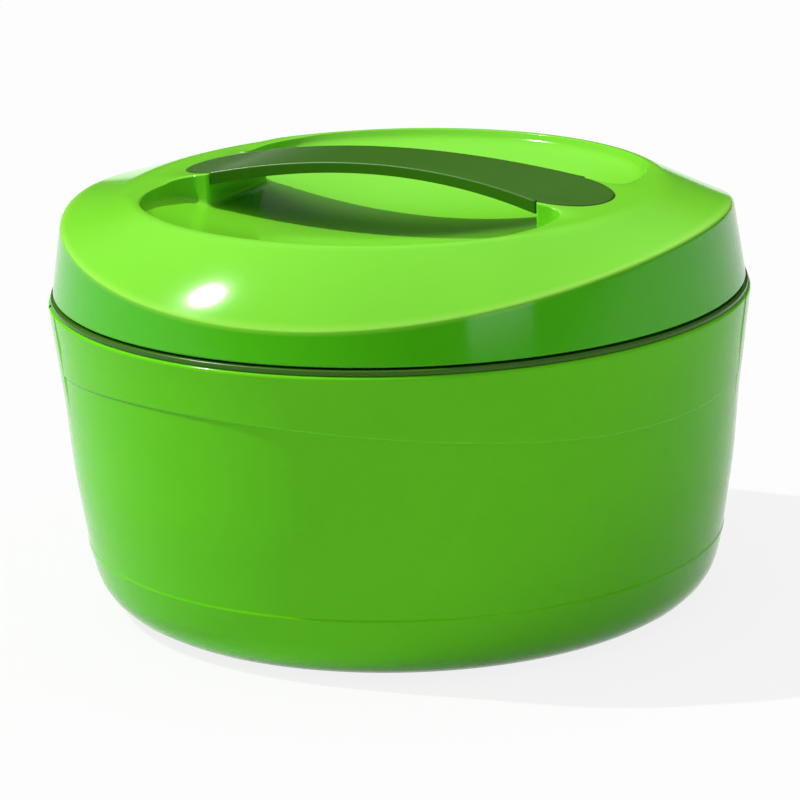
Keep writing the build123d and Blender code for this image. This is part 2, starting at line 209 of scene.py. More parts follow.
def offset_loop(loop: Sequence[Spot], distances: Sequence[float]) -> Outline:
    """Moves the places of a clockwise loop outwards.

    Args:
        loop: The closed loop. Neighbours at the same place count as one.
        distances: How far each place moves; negative is inwards.

    Returns:
        The moved loop.
    """
    places = [Vector((spot[0], spot[1])) for spot in loop]
    count = len(places)
    moved: Outline = []
    for index, here in enumerate(places):
        before, after = index - 1, index + 1
        while (places[before % count] - here).length < MERGE_DISTANCE:
            before -= 1
        while (places[after % count] - here).length < MERGE_DISTANCE:
            after += 1
        first = (here - places[before % count]).normalized().orthogonal()
        second = (places[after % count] - here).normalized().orthogonal()
        mitre = (first + second) / (1 + first.dot(second))
        target = here + mitre * distances[index]
        moved.append((target.x, target.y))
    return moved


def inside_loops(spots: np.ndarray, loops: Sequence[Sequence[Spot]]) -> np.ndarray:
    """Tells which places lie inside a set of loops, by counting crossings.

    Args:
        spots: Places, one a row.
        loops: Closed loops; a loop inside another is a hole.

    Returns:
        True for each place inside.
    """
    is_inside = np.zeros(len(spots), bool)
    x, y = spots[:, 0], spots[:, 1]
    for loop in loops:
        for (x0, y0), (x1, y1) in zip(loop, [*loop[1:], loop[0]]):
            if y0 == y1:
                continue
            is_between = (y0 > y) != (y1 > y)
            is_inside ^= is_between & (x < (x1 - x0) * (y - y0) / (y1 - y0) + x0)
    return is_inside


def even_spots(loops: Sequence[Sequence[Spot]], spacing: float) -> Outline:
    """Even places inside loops, clear of their edges.

    Args:
        loops: Closed loops in plan.
        spacing: Distance between the places.

    Returns:
        The places.
    """
    outer = np.array(loops[0])
    low, high = outer.min(0), outer.max(0)
    x, y = np.meshgrid(np.arange(low[0], high[0], spacing), np.arange(low[1], high[1], spacing))
    spots = np.stack([x.ravel(), y.ravel()], 1)
    is_kept = inside_loops(spots, loops)
    for way in ((1, 0), (-1, 0), (0, 1), (0, -1)):
        is_kept &= inside_loops(spots + np.array(way) * FILL_CLEARANCE * spacing, loops)
    return [tuple(spot) for spot in spots[is_kept]]


def add_object(name: str, data: bpy.types.ID) -> Piece:
    """Adds an object to the scene.

    Args:
        name: The object's name.
        data: Its mesh, light or camera.

    Returns:
        The object.
    """
    thing = bpy.data.objects.new(name, data)
    bpy.context.scene.collection.objects.link(thing)
    return thing


def settle(piece: Piece) -> None:
    """Turns a piece and its modifiers into a plain mesh.

    Args:
        piece: The piece.
    """
    graph = bpy.context.evaluated_depsgraph_get()
    mesh = bpy.data.meshes.new_from_object(piece.evaluated_get(graph))
    piece.modifiers.clear()
    mesh.name = piece.name
    piece.data = mesh


def place_piece(piece: Piece, body: Body, slot: str, *nodes: str) -> None:
    """Lets a piece ride on its body and stand for its nodes.

    Args:
        piece: The finished piece.
        body: The body that carries it.
        slot: The record's material slot, which is not used.
        nodes: The nodes that it stands for.
    """
    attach(piece, body.value)
    if nodes:
        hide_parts(*nodes)
    log.info("%s: %d faces on %s", piece.name, len(piece.data.polygons), body.value)


class Skin:
    """Collects the points and faces of one piece, then makes its object."""

    def __init__(self) -> None:
        """Starts empty."""
        self.points: list[Vector] = []
        self.faces: list[list[int]] = []

    def add_rows(
        self,
        rows: Sequence[Sequence[Vector]],
        is_ring: bool = False,
        is_round: bool = True,
    ) -> None:
        """Adds quads between rows of equally many points.

        Args:
            rows: The rows in order.
            is_ring: Whether the last row joins the first.
            is_round: Whether each row closes on itself.
        """
        first = len(self.points)
        width, depth = len(rows[0]), len(rows)
        for row in rows:
            self.points.extend(row)
        for low in range(depth if is_ring else depth - 1):
            high = (low + 1) % depth
            for left in range(width if is_round else width - 1):
                right = (left + 1) % width
                corners = ((low, left), (low, right), (high, right), (high, left))
                self.faces.append([first + row * width + place for row, place in corners])

    def add_turned(self, outlines: Sequence[Outline], angles: Sequence[float], is_ring: bool) -> None:
        """Adds the surface that outlines of (radius, height) make round the upright axis.

        Args:
            outlines: One outline for each angle.
            angles: The angles.
            is_ring: Whether each outline closes on itself.
        """
        rows = []
        for spots in zip(*outlines):
            rows.append([turned(*spot, angle) for spot, angle in zip(spots, angles)])
        self.add_rows(rows, is_ring)

    def add_fill(self, loops: Sequence[Sequence[Spot]], height: Height, spacing: float = 0.0) -> None:
        """Adds triangles inside loops, with even points between them where a spacing is given.

        Args:
            loops: Closed loops in plan; a loop inside another is a hole.
            height: Height of the surface at a place.
            spacing: Distance of the points inside, or 0 for none.
        """
        spots: Outline = []
        edges: list[tuple[int, int]] = []
        for loop in loops:
            first, count = len(spots), len(loop)
            spots.extend(loop)
            edges.extend((first + place, first + (place + 1) % count) for place in range(count))
        if spacing:
            spots.extend(even_spots(loops, spacing))
        corners = [Vector(spot) for spot in spots]
        places, _, triangles, *_ = delaunay_2d_cdt(corners, edges, [], 0, MERGE_DISTANCE)
        middles = np.array([[places[index] for index in face] for face in triangles]).mean(axis=1)
        first = len(self.points)
        self.points.extend(Vector((place.x, place.y, height(place.x, place.y))) for place in places)
        for face, is_kept in zip(triangles, inside_loops(middles, loops)):
            if is_kept:
                self.faces.append([first + index for index in face])

    def to_piece(self, name: str, material: Material) -> Piece:
        """Makes the object: merged, facing outwards, smooth, with flat faces kept flat.

        Args:
            name: The object's name.
            material: Its material.

        Returns:
            The new object.
        """
        mesh = bpy.data.meshes.new(name)
        mesh.from_pydata(self.points, [], self.faces)
        shell = bmesh.new()
        shell.from_mesh(mesh)
        bmesh.ops.remove_doubles(shell, verts=shell.verts, dist=MERGE_DISTANCE)
        bmesh.ops.recalc_face_normals(shell, faces=shell.faces)
        shell.to_mesh(mesh)
        shell.free()
        mesh.shade_smooth()
        mesh.set_sharp_from_angle(angle=SHARP_ANGLE)
        mesh.materials.append(material)
        piece = add_object(name, mesh)
        weigh = piece.modifiers.new("flat faces stay flat", "WEIGHTED_NORMAL")
        weigh.keep_sharp = True
        settle(piece)
        return piece


def even_angles(count: int = COLUMNS) -> list[float]:
    """Even angles round the upright axis."""
    return [2 * math.pi * place / count for place in range(count)]


def turned_skin(corners: Sequence[Corner], is_ring: bool) -> Skin:
    """A round piece from one outline.

    Args:
        corners: The outline's corners.
        is_ring: Whether the outline closes on itself; if not, its ends lie on the axis.

    Returns:
        The skin.
    """
    skin = Skin()
    angles = even_angles()
    skin.add_turned([rounded_outline(corners, is_ring)] * len(angles), angles, is_ring)
    return skin


def hook_section(root: float, tip: float, low: float, high: float, rounding: float) -> list[Corner]:
    """Section of a ledge, stop or lug between two radii and two heights, rounded at its tip."""
    return [Corner(root, low), Corner(tip, low, rounding), Corner(tip, high, rounding), Corner(root, high)]


def sector_skin(corners: Sequence[Corner], middle: float, spread: float) -> Skin:
    """A piece of a ring with closed ends.

    Args:
        corners: The section's corners, a convex outline.
        middle: Angle of the middle, in degrees.
        spread: Angle from end to end, in degrees.

    Returns:
        The skin.
    """
    skin = Skin()
    outline = rounded_outline(corners, True, SECTOR_ROUNDING_STEPS)
    rows = []
    for step in range(SECTOR_STEPS + 1):
        angle = math.radians(middle + spread * (step / SECTOR_STEPS - 0.5))
        rows.append([turned(*spot, angle) for spot in outline])
    skin.add_rows(rows)
    for row in (rows[0], rows[-1]):
        first = len(skin.points)
        skin.points.extend(row)
        skin.faces.append(list(range(first, first + len(row))))
    return skin


def set_inputs(tree: Tree, node: bpy.types.Node, inputs: dict) -> None:
    """Sets or links a node's inputs.

    Args:
        tree: The node tree.
        node: The node.
        inputs: Values or linked sockets by input name or index.
    """
    for key, value in inputs.items():
        if isinstance(value, Socket):
            tree.links.new(value, node.inputs[key])
        else:
            node.inputs[key].default_value = value


def add_node(tree: Tree, kind: str, inputs: dict | None = None, **settings: object) -> bpy.types.Node:
    """Adds a node with its settings and links.

    Args:
        tree: The node tree.
        kind: The node's type.
        inputs: Values or linked sockets by input name or index.
        settings: The node's own settings.

    Returns:
        The new node.
    """
    node = tree.nodes.new(kind)
    for name, value in settings.items():
        setattr(node, name, value)
    set_inputs(tree, node, inputs or {})
    return node


def add_math(tree: Tree, operation: str, first: Socket | float, second: Socket | float) -> Socket:
    """Adds a node that reckons with two values, and gives its result."""
    return add_node(tree, "ShaderNodeMath", {0: first, 1: second}, operation=operation).outputs[0]


class TurnedCopies:
    """Geometry Nodes tree that turns copies of a piece round the upright axis."""

    inputs = {"Geometry": "Geometry", "Count": "Int", "Pitch": "Float", "Material": "Material"}

    def __init__(self) -> None:
        """Builds the tree with named inputs."""
        self.tree = bpy.data.node_groups.new("turned_copies", "GeometryNodeTree")
        face = self.tree.interface
        for name, kind in self.inputs.items():
            face.new_socket(name, in_out="INPUT", socket_type=f"NodeSocket{kind}")
        face.new_socket("Geometry", in_out="OUTPUT", socket_type="NodeSocketGeometry")
        given = add_node(self.tree, "NodeGroupInput").outputs
        points = add_node(self.tree, "GeometryNodePoints", {"Count": given["Count"]})
        index = add_node(self.tree, "GeometryNodeInputIndex")
        turn = add_math(self.tree, "MULTIPLY", index.outputs[0], given["Pitch"])
        upright = add_node(self.tree, "ShaderNodeCombineXYZ", {"Z": turn})
        rotation = add_node(self.tree, "FunctionNodeEulerToRotation", {0: upright.outputs[0]})
        copies = add_node(self.tree, "GeometryNodeInstanceOnPoints", {
            "Points": points.outputs[0],
            "Instance": given["Geometry"],
            "Rotation": rotation.outputs[0],
        })
        real = add_node(self.tree, "GeometryNodeRealizeInstances", {0: copies.outputs[0]})
        dressed = add_node(self.tree, "GeometryNodeSetMaterial", {
            "Geometry": real.outputs[0],
            "Material": given["Material"],
        })
        add_node(self.tree, "NodeGroupOutput", {0: dressed.outputs[0]})

    def apply(self, piece: Piece, count: int, material: Material) -> None:
        """Repeats a piece evenly round the axis and makes the result its plain mesh.

        Args:
            piece: The first copy, at its place.
            count: How many copies there are.
            material: The copies' material.
        """
        modifier = piece.modifiers.new("turned copies", "NODES")
        modifier.node_group = self.tree
        values = {"Count": count, "Pitch": 2 * math.pi / count, "Material": material}
        for socket in self.tree.interface.items_tree:
            if socket.in_out == "INPUT" and socket.name in values:
                modifier[socket.identifier] = values[socket.name]
        settle(piece)


def linear(code: str) -> Sequence[float]:
    """Turns an sRGB hex colour into linear red, green, blue and alpha.

    Args:
        code: Six hex digits.

    Returns:
        The linear colour.
    """
    shares = [int(code[place:place + 2], 16) / 255 for place in (0, 2, 4)]
    # The numbers of this curve are those of the sRGB standard.
    bent = [s / 12.92 if s <= 0.04045 else ((s + 0.055) / 1.055) ** 2.4 for s in shares]
    return (*bent, 1.0)


def per_metre(millimetres: float) -> float:
    """Texture scale whose features lie that far apart."""
    return 1000 / millimetres


class MaterialBench:
    """A new material, with the steps by which the finishes lay out its nodes."""

    def __init__(self, name: str) -> None:
        """Starts the material.

        Args:
            name: The material's name.
        """
        self.material = bpy.data.materials.new(name)
        self.material.use_nodes = True
        self.tree = self.material.node_tree
        self.shader = self.tree.nodes["Principled BSDF"]

    @cached_property
    def place(self) -> Socket:
        """The object's own coordinates."""
        return add_node(self.tree, "ShaderNodeTexCoord").outputs["Object"]

    def noise(self, apart_mm: float, detail: float, place: Socket | None = None) -> Socket:
        """Soft noise.

        Args:
            apart_mm: How far apart its features lie, in millimetres.
            detail: How many finer layers it has.
            place: Coordinates to use in place of the object's.

        Returns:
            Its value.
        """
        return add_node(self.tree, "ShaderNodeTexNoise", {
            "Vector": self.place if place is None else place,
            "Scale": per_metre(apart_mm),
            "Detail": detail,
        }).outputs["Fac"]

    def blend(self, share: Socket, first: str | Socket, second: str, mode: str = "MIX") -> Socket:
        """Lays one colour over another.

        Args:
            share: How much of the second colour shows.
            first: The colour below, as hex digits or a socket.
            second: The colour above, as hex digits.
            mode: How it is laid on.

        Returns:
            The colour.
        """
        return add_node(self.tree, "ShaderNodeMix", {
            "Factor": share,
            "A": linear(first) if isinstance(first, str) else first,
            "B": linear(second),
        }, data_type="RGBA", blend_type=mode).outputs["Result"]

    def vary(self, share: Socket, middle: float, spread: float) -> Socket:
        """A value that varies about its middle.

        Args:
            share: Where in its spread the value lies.
            middle: The middle.
            spread: From the lowest value to the highest.

        Returns:
            The value.
        """
        return add_node(self.tree, "ShaderNodeMapRange", {
            "Value": share,
            "To Min": middle - spread / 2,
            "To Max": middle + spread / 2,
        }).outputs[0]

    def bump(self, height: Socket, depth: float, below: Socket | None = None) -> Socket:
        """A normal that is bent by a relief.

        Args:
            height: The relief.
            depth: Its depth.
            below: The normal that it lies on, if not the surface's own.

        Returns:
            The normal.
        """
        inputs = {"Height": height, "Distance": depth}
        if below is not None:
            inputs["Normal"] = below
        return add_node(self.tree, "ShaderNodeBump", inputs).outputs[0]

    def dress(self, inputs: dict[str, Socket | float]) -> Material:
        """Gives the shader its inputs and hands out the finished material."""
        set_inputs(self.tree, self.shader, inputs)
        return self.material


@dataclass(frozen=True)
class MouldedPolypropylene:
    """Injection-moulded polypropylene, polished tool: a wet gloss over a full, slightly uneven colour."""

    name: str
    colour: str
    deep_colour: str
    roughness: float = 0.11
    roughness_spread: float = 0.04
    gloss_level: float = 0.12
    cloud_mm: float = 70.0
    peel_mm: float = 2.2
    peel_depth: float = 0.000004
    flow_mm: float = 38.0
    flow_depth: float = 0.00006
    painted_side_shade: str = "FFFFFF"
    painted_crease_highlight: str = "FFFFFF"
    crease_highlight_share: float = 1.2
    ior: float = 1.49

    def material(self) -> Material:
        """Builds the material.

        Returns:
            The material.
        """
        bench = MaterialBench(self.name)
        # Pigment lies a little uneven over a hand's breadth, so the green drifts softly.
        colour = bench.blend(bench.noise(self.cloud_mm, detail=2), self.deep_colour, self.colour)
        # Marked sides are painted a deeper green than the top: painted shade for the lid's walls, which get
        # less light than its top.
        mark = add_node(bench.tree, "ShaderNodeAttribute", attribute_name=SIDE_MARK).outputs["Fac"]
        side_shaded = bench.blend(mark, colour, self.painted_side_shade, "MULTIPLY")
        # The edge between them carries a half mark, on which a pale line is painted: a painted highlight
        # along the rounded crease.
        near = add_math(bench.tree, "PINGPONG", mark, EDGE_MARK)
        edge = add_math(bench.tree, "MULTIPLY", near, self.crease_highlight_share)
        highlighted = bench.blend(edge, side_shaded, self.painted_crease_highlight)
        # The polish is a touch duller in patches, which breaks up the edges of highlights.
        gloss = bench.vary(bench.noise(self.flow_mm, detail=4), self.roughness, self.roughness_spread)
        # Shrinkage leaves long shallow waves, and the tool a fine peel, which bend reflections.
        waves = bench.bump(bench.noise(self.flow_mm, detail=1), self.flow_depth)
        peel = bench.bump(bench.noise(self.peel_mm, detail=2), self.peel_depth, waves)
        return bench.dress({
            "Base Color": highlighted,
            "Roughness": gloss,
            "Normal": peel,
            "IOR": self.ior,
            "Specular IOR Level": self.gloss_level,
        })


@dataclass(frozen=True)
class EtchedPolypropylene:
    """Moulded polypropylene from a finely etched tool: satin, with a grain that softens every highlight."""

    name: str
    colour: str
    deep_colour: str
    roughness: float = 0.24
    roughness_spread: float = 0.08
    gloss_level: float = 0.25
    cloud_mm: float = 30.0
    grain_mm: float = 0.7
    grain_depth: float = 0.00001
    ior: float = 1.49

    def material(self) -> Material:
        """Builds the material.

        Returns:
            The material.
        """
        bench = MaterialBench(self.name)
        # Handling leaves the olive paler in soft patches.
        colour = bench.blend(bench.noise(self.cloud_mm, detail=3), self.deep_colour, self.colour)
        # The etched grain is near 0.1 mm on the real piece and is drawn coarser so that it shows.
        grain = bench.noise(self.grain_mm, detail=2)
        return bench.dress({
            "Base Color": colour,
            "Roughness": bench.vary(grain, self.roughness, self.roughness_spread),
            "Normal": bench.bump(grain, self.grain_depth),
            "IOR": self.ior,
            "Specular IOR Level": self.gloss_level,
        })


@dataclass(frozen=True)
class SpunSteel:
    """Stainless steel, drawn and brushed on the lathe: fine rings round the axis drag out the highlights."""

    name: str
    colour: str
    dull_colour: str
    roughness: float = 0.26
    roughness_spread: float = 0.14
    ring_mm: float = 0.8
    ring_depth: float = 0.000006

    def material(self) -> Material:
        """Builds the material.

        Returns:
            The material.
        """
        bench = MaterialBench(self.name)
        axes = add_node(bench.tree, "ShaderNodeSeparateXYZ", {0: bench.place}).outputs
        flat = add_node(bench.tree, "ShaderNodeCombineXYZ", {"X": axes["X"], "Y": axes["Y"]}).outputs[0]
        radius = add_node(bench.tree, "ShaderNodeVectorMath", {0: flat}, operation="LENGTH").outputs["Value"]
        across = add_node(bench.tree, "ShaderNodeCombineXYZ", {"X": radius, "Y": axes["Z"]}).outputs[0]
        # The brush lines are finer than this on the real bowl and are drawn coarser so that they show.
        rings = bench.noise(self.ring_mm, detail=4, place=across)
        return bench.dress({
            "Base Color": bench.blend(rings, self.dull_colour, self.colour),
            "Metallic": 1.0,
            "Roughness": bench.vary(rings, self.roughness, self.roughness_spread),
            "Normal": bench.bump(rings, self.ring_depth),
        })


@dataclass(frozen=True)
class SiliconeRubber:
    """Moulded food-grade silicone: milky, soft to the light, with a faint dusty bloom."""

    name: str
    colour: str
    bloom_colour: str
    roughness: float = 0.5
    bloom_mm: float = 6.0
    bloom_depth: float = 0.00001
    scatter_share: float = 0.4
    scatter_depth: float = 0.002
    ior: float = 1.41

    def material(self) -> Material:
        """Builds the material.

        Returns:
            The material.
        """
        bench = MaterialBench(self.name)
        bloom = bench.noise(self.bloom_mm, detail=5)
        return bench.dress({
            "Base Color": bench.blend(bloom, self.colour, self.bloom_colour),
            "Roughness": self.roughness,
            "Normal": bench.bump(bloom, self.bloom_depth),
            "IOR": self.ior,
            "Subsurface Weight": self.scatter_share,
            "Subsurface Scale": self.scatter_depth,
        })


@dataclass(frozen=True)
class PolyurethaneFoam:
    """Poured rigid polyurethane foam: matt cream, with closed cells about a millimetre across."""

    name: str
    colour: str
    cell_colour: str
    roughness: float = 0.9
    cell_mm: float = 1.6
    cell_depth: float = 0.0004

    def material(self) -> Material:
        """Builds the material.

        Returns:
            The material.
        """
        bench = MaterialBench(self.name)
        cells = add_node(bench.tree, "ShaderNodeTexVoronoi", {
            "Vector": bench.place,
            "Scale": per_metre(self.cell_mm),
        }).outputs["Distance"]
        return bench.dress({
            "Base Color": bench.blend(cells, self.cell_colour, self.colour),
            "Roughness": self.roughness,
            "Normal": bench.bump(cells, self.cell_depth),
        })


class Finish:
    """The finishes of the container's pieces, each made once."""

    def __init__(self) -> None:
        """Makes every material."""
        self.tub_green = MouldedPolypropylene("tub_polypropylene", "68D416", "5DC90F").material()
        # Lid and tub are one plastic; the lid's green is painted paler and yellower as painted light for its
        # sunlit top.
        lid_tones = ("7CD82E", "72CE26")
        self.lid_green = MouldedPolypropylene(
            "lid_polypropylene",
            *lid_tones,
            gloss_level=0.3,
            # Painted shade: the lid's walls are tinted darker than its top, where less light falls on them.
            painted_side_shade="A0E26C",
            # Painted highlight: a pale line along the lid's crease.
            painted_crease_highlight="B4F260",
        ).material()
        self.liner_green = MouldedPolypropylene("liner_polypropylene", *lid_tones, roughness=0.24).material()
        self.olive = EtchedPolypropylene("olive_polypropylene", "3B6E10", "33640D").material()
        self.steel = SpunSteel("bowl_stainless_steel", "D2D1CE", "B4B4B2").material()
        self.silicone = SiliconeRubber("gasket_silicone", "DCDED6", "EEEFEA").material()
        self.foam = PolyurethaneFoam("poured_foam", "EFE6C8", "D2C59E").material()
        self.screw = SpunSteel("screw_zinc_steel", "C9CBCE", "9DA0A4", roughness=0.34).material()


@dataclass
class Tub:
    """The green tub: wall with its proud band, grip pads, crease, rounded foot and filling plug."""

    wall_top_radius: float = 0.1294
    knee_radius: float = 0.1241
    knee_height: float = 0.052
    knee_rounding: float = 0.25
    crease_radius: float = 0.1202
    crease_height: float = 0.026
    crease_ledge: float = 0.0002
    foot_radius: float = 0.1144
    foot_corner: float = 0.020
    wall: float = 0.0026
    recess_radius: float = 0.0884
    recess_depth: float = 0.0016
    edge_rounding: float = 0.0008
    lip_radius: float = 0.1305
    lip_rounding: float = 0.0012
    band_step: float = 0.0005
    band_run: float = 0.0006
    band_least_drop: float = 0.0183
    band_wave_depth: float = 0.0126
    band_wave_angle: float = -9.8
    grip_top_radius: float = 0.1308
    grip_drop: float = 0.038
    grip_half_angle: float = 14.5
    grip_edge_angle: float = 0.5
    grip_edge_steps: int = 6
    grip_angle: float = 28.2
    plug_hole_radius: float = 0.008
    plug_gap: float = 0.0002
    plug_flange_radius: float = 0.012
    plug_flange: float = 0.0012
    plug_stem_reach: float = 0.0015
    plug_rounding: float = 0.0004

    def wall_radius(self, height: float) -> float:
        """Outer radius of the upper wall at a height."""
        share = (height - self.knee_height) / (RIM_HEIGHT - self.knee_height)
        return self.knee_radius + (self.wall_top_radius - self.knee_radius) * share

    def band_edge(self, angle: float) -> float:
        """Height of the band's lower edge at an angle."""
        along = math.cos(angle - math.radians(self.band_wave_angle))
        return RIM_HEIGHT - self.band_least_drop - self.band_wave_depth * along ** 2

    def grip_share(self, angle: float) -> float:
        """How much of a grip pad shows at an angle, from 0 to 1, with softened sides."""
        turn = (math.degrees(angle) - self.grip_angle + 90) % 180 - 90
        return smooth_step((self.grip_half_angle - abs(turn)) / self.grip_edge_angle + 0.5)

    def outer_radius(self, height: float, angle: float, band: float) -> float:
        """Outer radius of the upper wall with its band and grip pads.

        Args:
            height: The height.
            angle: The angle.
            band: How far the band stands proud at this height.

        Returns:
            The radius.
        """
        grip_low = RIM_HEIGHT - self.grip_drop
        low = self.wall_radius(grip_low)
        pad = low + (self.grip_top_radius - low) * (height - grip_low) / self.grip_drop
        plain = self.wall_radius(height) + band
        return plain + max(0.0, pad - plain) * self.grip_share(angle)

    def outline(self, angle: float) -> Outline:
        """The wall's closed outline at an angle.

        Args:
            angle: The angle.

        Returns:
            The outline, as (radius, height).
        """
        edge = self.band_edge(angle)
        step_low = edge - self.band_run
        grip_low = RIM_HEIGHT - self.grip_drop
        blend = (edge + RIM_HEIGHT) / 2
        floor = self.recess_depth + self.wall
        fine = self.edge_rounding
        lip = max(self.lip_radius, self.outer_radius(RIM_HEIGHT, angle, self.band_step))
        return rounded_outline([
            Corner(self.plug_hole_radius, self.recess_depth, fine / 2),
            Corner(self.recess_radius, self.recess_depth, fine),
            Corner(self.recess_radius, 0, fine),
            Corner(self.foot_radius, 0, self.foot_corner),
            Corner(self.crease_radius + self.crease_ledge, self.crease_height - fine, fine / 2),
            Corner(self.crease_radius, self.crease_height, fine / 2),
            Corner(self.knee_radius, self.knee_height, self.knee_rounding),
            Corner(self.outer_radius(grip_low, angle, 0), grip_low),
            Corner(self.outer_radius(step_low, angle, 0), step_low, self.band_run / 2),
            Corner(self.outer_radius(edge, angle, self.band_step), edge, self.band_run / 2),
            Corner(self.outer_radius(blend, angle, self.band_step), blend),
            Corner(lip, RIM_HEIGHT, self.lip_rounding),
            Corner(self.wall_top_radius - self.wall, RIM_HEIGHT, fine),
            Corner(self.knee_radius - self.wall, self.knee_height, self.knee_rounding),
            Corner(self.crease_radius - self.wall, self.crease_height, fine),
            Corner(self.foot_radius - self.wall, floor, self.foot_corner - self.wall),
            Corner(self.plug_hole_radius, floor, fine / 2),
        ], True)

    def angles(self) -> list[float]:
        """Even angles, with close ones added at the sides of the grip pads.

        Returns:
            The angles in order.
        """
        found = set(even_angles())
        for pad in (self.grip_angle, self.grip_angle + 180):
            for edge in (pad - self.grip_half_angle, pad + self.grip_half_angle):
                for step in range(self.grip_edge_steps + 1):
                    place = edge + self.grip_edge_angle * (step / self.grip_edge_steps - 0.5)
                    found.add(math.radians(place % 360))
        return sorted(found)

    def build(self, finish: Finish) -> None:
        """Builds and dresses the tub and its plug.

        Args:
            finish: The finishes.
        """
        skin = Skin()
        angles = self.angles()
        skin.add_turned([self.outline(angle) for angle in angles], angles, True)
        place_piece(skin.to_piece("tub", finish.tub_green), Body.CONTAINER, "tub_green", "outer_shell")

        stem = self.plug_hole_radius - self.plug_gap
        stem_top = self.recess_depth + self.wall + self.plug_stem_reach
        low = self.recess_depth - self.plug_flange
        plug = turned_skin([
            Corner(0, low + self.plug_rounding / 2),
            Corner(stem / 2, low + self.plug_rounding / 2, self.plug_rounding),
            Corner(stem, low, self.plug_rounding),
            Corner(self.plug_flange_radius, low, self.plug_rounding),
            Corner(self.plug_flange_radius, self.recess_depth, self.plug_rounding),
            Corner(stem, self.recess_depth, self.plug_rounding / 2),
            Corner(stem, stem_top, self.edge_rounding),
            Corner(0, stem_top),
        ], False)
        piece = plug.to_piece("fill_plug", finish.tub_green)
        place_piece(piece, Body.CONTAINER, "tub_green", "base_fill_plug")


@dataclass
class RimRing:
    """The olive ring between tub and lid, with its collar and locking ledges."""

    tub: Tub
    radius: float = 0.1298
    thickness: float = 0.0021
    edge_rounding: float = 0.0007
    skirt_depth: float = 0.005
    skirt_wall: float = 0.0022
    collar_radius: float = 0.1145
    collar_wall: float = 0.0025
    collar_rise: float = 0.0112
    lock_count: int = 4
    ledge_reach: float = 0.0031
    ledge_low: float = 0.008
    ledge_high: float = 0.0106
    ledge_angle: float = 44.0
    lug_angle: float = 32.0
    lock_turn: float = 20.8
    stop_angle: float = 2.5
    stop_gap_angle: float = 0.3
    ledge_rounding: float = 0.0004

    def build(self, finish: Finish, copies: TurnedCopies) -> None:
        """Builds and dresses the ring, its ledges and its stops.

        Args:
            finish: The finishes.
            copies: The tree that repeats a piece round the axis.
        """
        skirt_low = RIM_HEIGHT - self.skirt_depth
        skirt_outer = self.tub.wall_radius(skirt_low) - self.tub.wall - FIT_GAP
        skirt_inner = skirt_outer - self.skirt_wall
        collar_inner = self.collar_radius - self.collar_wall
        top = RIM_HEIGHT + self.thickness
        collar_top = RIM_HEIGHT + self.collar_rise
        fine = self.ledge_rounding
        ring = turned_skin([
            Corner(collar_inner, RIM_HEIGHT, fine),
            Corner(skirt_inner, RIM_HEIGHT, fine),
            Corner(skirt_inner, skirt_low, fine),
            Corner(skirt_outer, skirt_low, fine),
            Corner(skirt_outer, RIM_HEIGHT, fine),
            Corner(self.radius, RIM_HEIGHT, self.edge_rounding),
            Corner(self.radius, top, self.edge_rounding),
            Corner(self.collar_radius, top, fine),
            Corner(self.collar_radius, collar_top, fine),
            Corner(collar_inner, collar_top, fine),
        ], True)
        place_piece(ring.to_piece("ring", finish.olive), Body.CONTAINER, "olive", "rim_ring")

        pitch = 360 / self.lock_count
        inner = self.collar_radius - self.collar_wall / 2
        outer = self.collar_radius + self.ledge_reach
        high = RIM_HEIGHT + self.ledge_high
        lug_end = pitch / 2 + self.lug_angle / 2 + self.lock_turn
        stop_middle = lug_end + self.stop_gap_angle + self.stop_angle / 2
        parts = (
            ("ring_ledges", RIM_HEIGHT + self.ledge_low, pitch, self.ledge_angle),
            ("ring_stops", RIM_HEIGHT + self.thickness / 2, stop_middle, self.stop_angle),
        )
        for name, low, middle, spread in parts:
            section = hook_section(inner, outer, low, high, fine)
            piece = sector_skin(section, middle, spread).to_piece(name, finish.olive)
            copies.apply(piece, self.lock_count, finish.olive)
            place_piece(piece, Body.CONTAINER, "olive")


@dataclass
class InnerBowl:
    """The drawn steel bowl that hangs by its flange on the ring's collar."""

    ring: RimRing
    mouth_radius: float = 0.1102
    wall: float = 0.0008
    floor_radius: float = 0.098
    floor_height: float = 0.018
    corner_rounding: float = 0.022
    lip_rounding: float = 0.0006

    def build(self, finish: Finish) -> None:
        """Builds and dresses the bowl.

        Args:
            finish: The finishes.
        """
        flange = RIM_HEIGHT + self.ring.collar_rise
        top = flange + self.wall
        under = self.floor_height - self.wall
        bowl = turned_skin([
            Corner(0, self.floor_height),
            Corner(self.floor_radius, self.floor_height, self.corner_rounding),
            Corner(self.mouth_radius, top, self.lip_rounding),
            Corner(self.ring.collar_radius, top, self.wall / 2),
            Corner(self.ring.collar_radius, flange, self.wall / 2),
            Corner(self.mouth_radius + self.wall, flange, self.lip_rounding),
            Corner(self.floor_radius + self.wall, under, self.corner_rounding + self.wall),
            Corner(0, under),
        ], False)
        place_piece(bowl.to_piece("bowl", finish.steel), Body.CONTAINER, "bowl_steel", "inner_bowl")


@dataclass(frozen=True)
class PadLine:
    """The slope that the handle's pads and their pockets in the lid share. Heights are above the rim."""

    reach: float = 0.087
    arch_end: float = 0.0676
    tip_top: float = 0.0392
    rise: float = 0.0027
    thickness: float = 0.0027
    nose_radius: float = 0.020

    @property
    def nose_centre(self) -> float:
        """Place along the handle of the centre of a pad's round nose."""
        return self.reach - self.nose_radius

    def slope(self) -> float:
        """How far the pads rise for each metre towards the arch."""
        return self.rise / (self.reach - self.arch_end)

    def top(self, x: float) -> float:
        """Height of a pad's upper face at a place along the handle."""
        return self.tip_top + self.slope() * (self.reach - abs(x))

    def floor(self, x: float) -> float:
        """Height of a pad's lower face, which lies on the pocket's floor."""
        return self.top(x) - self.thickness


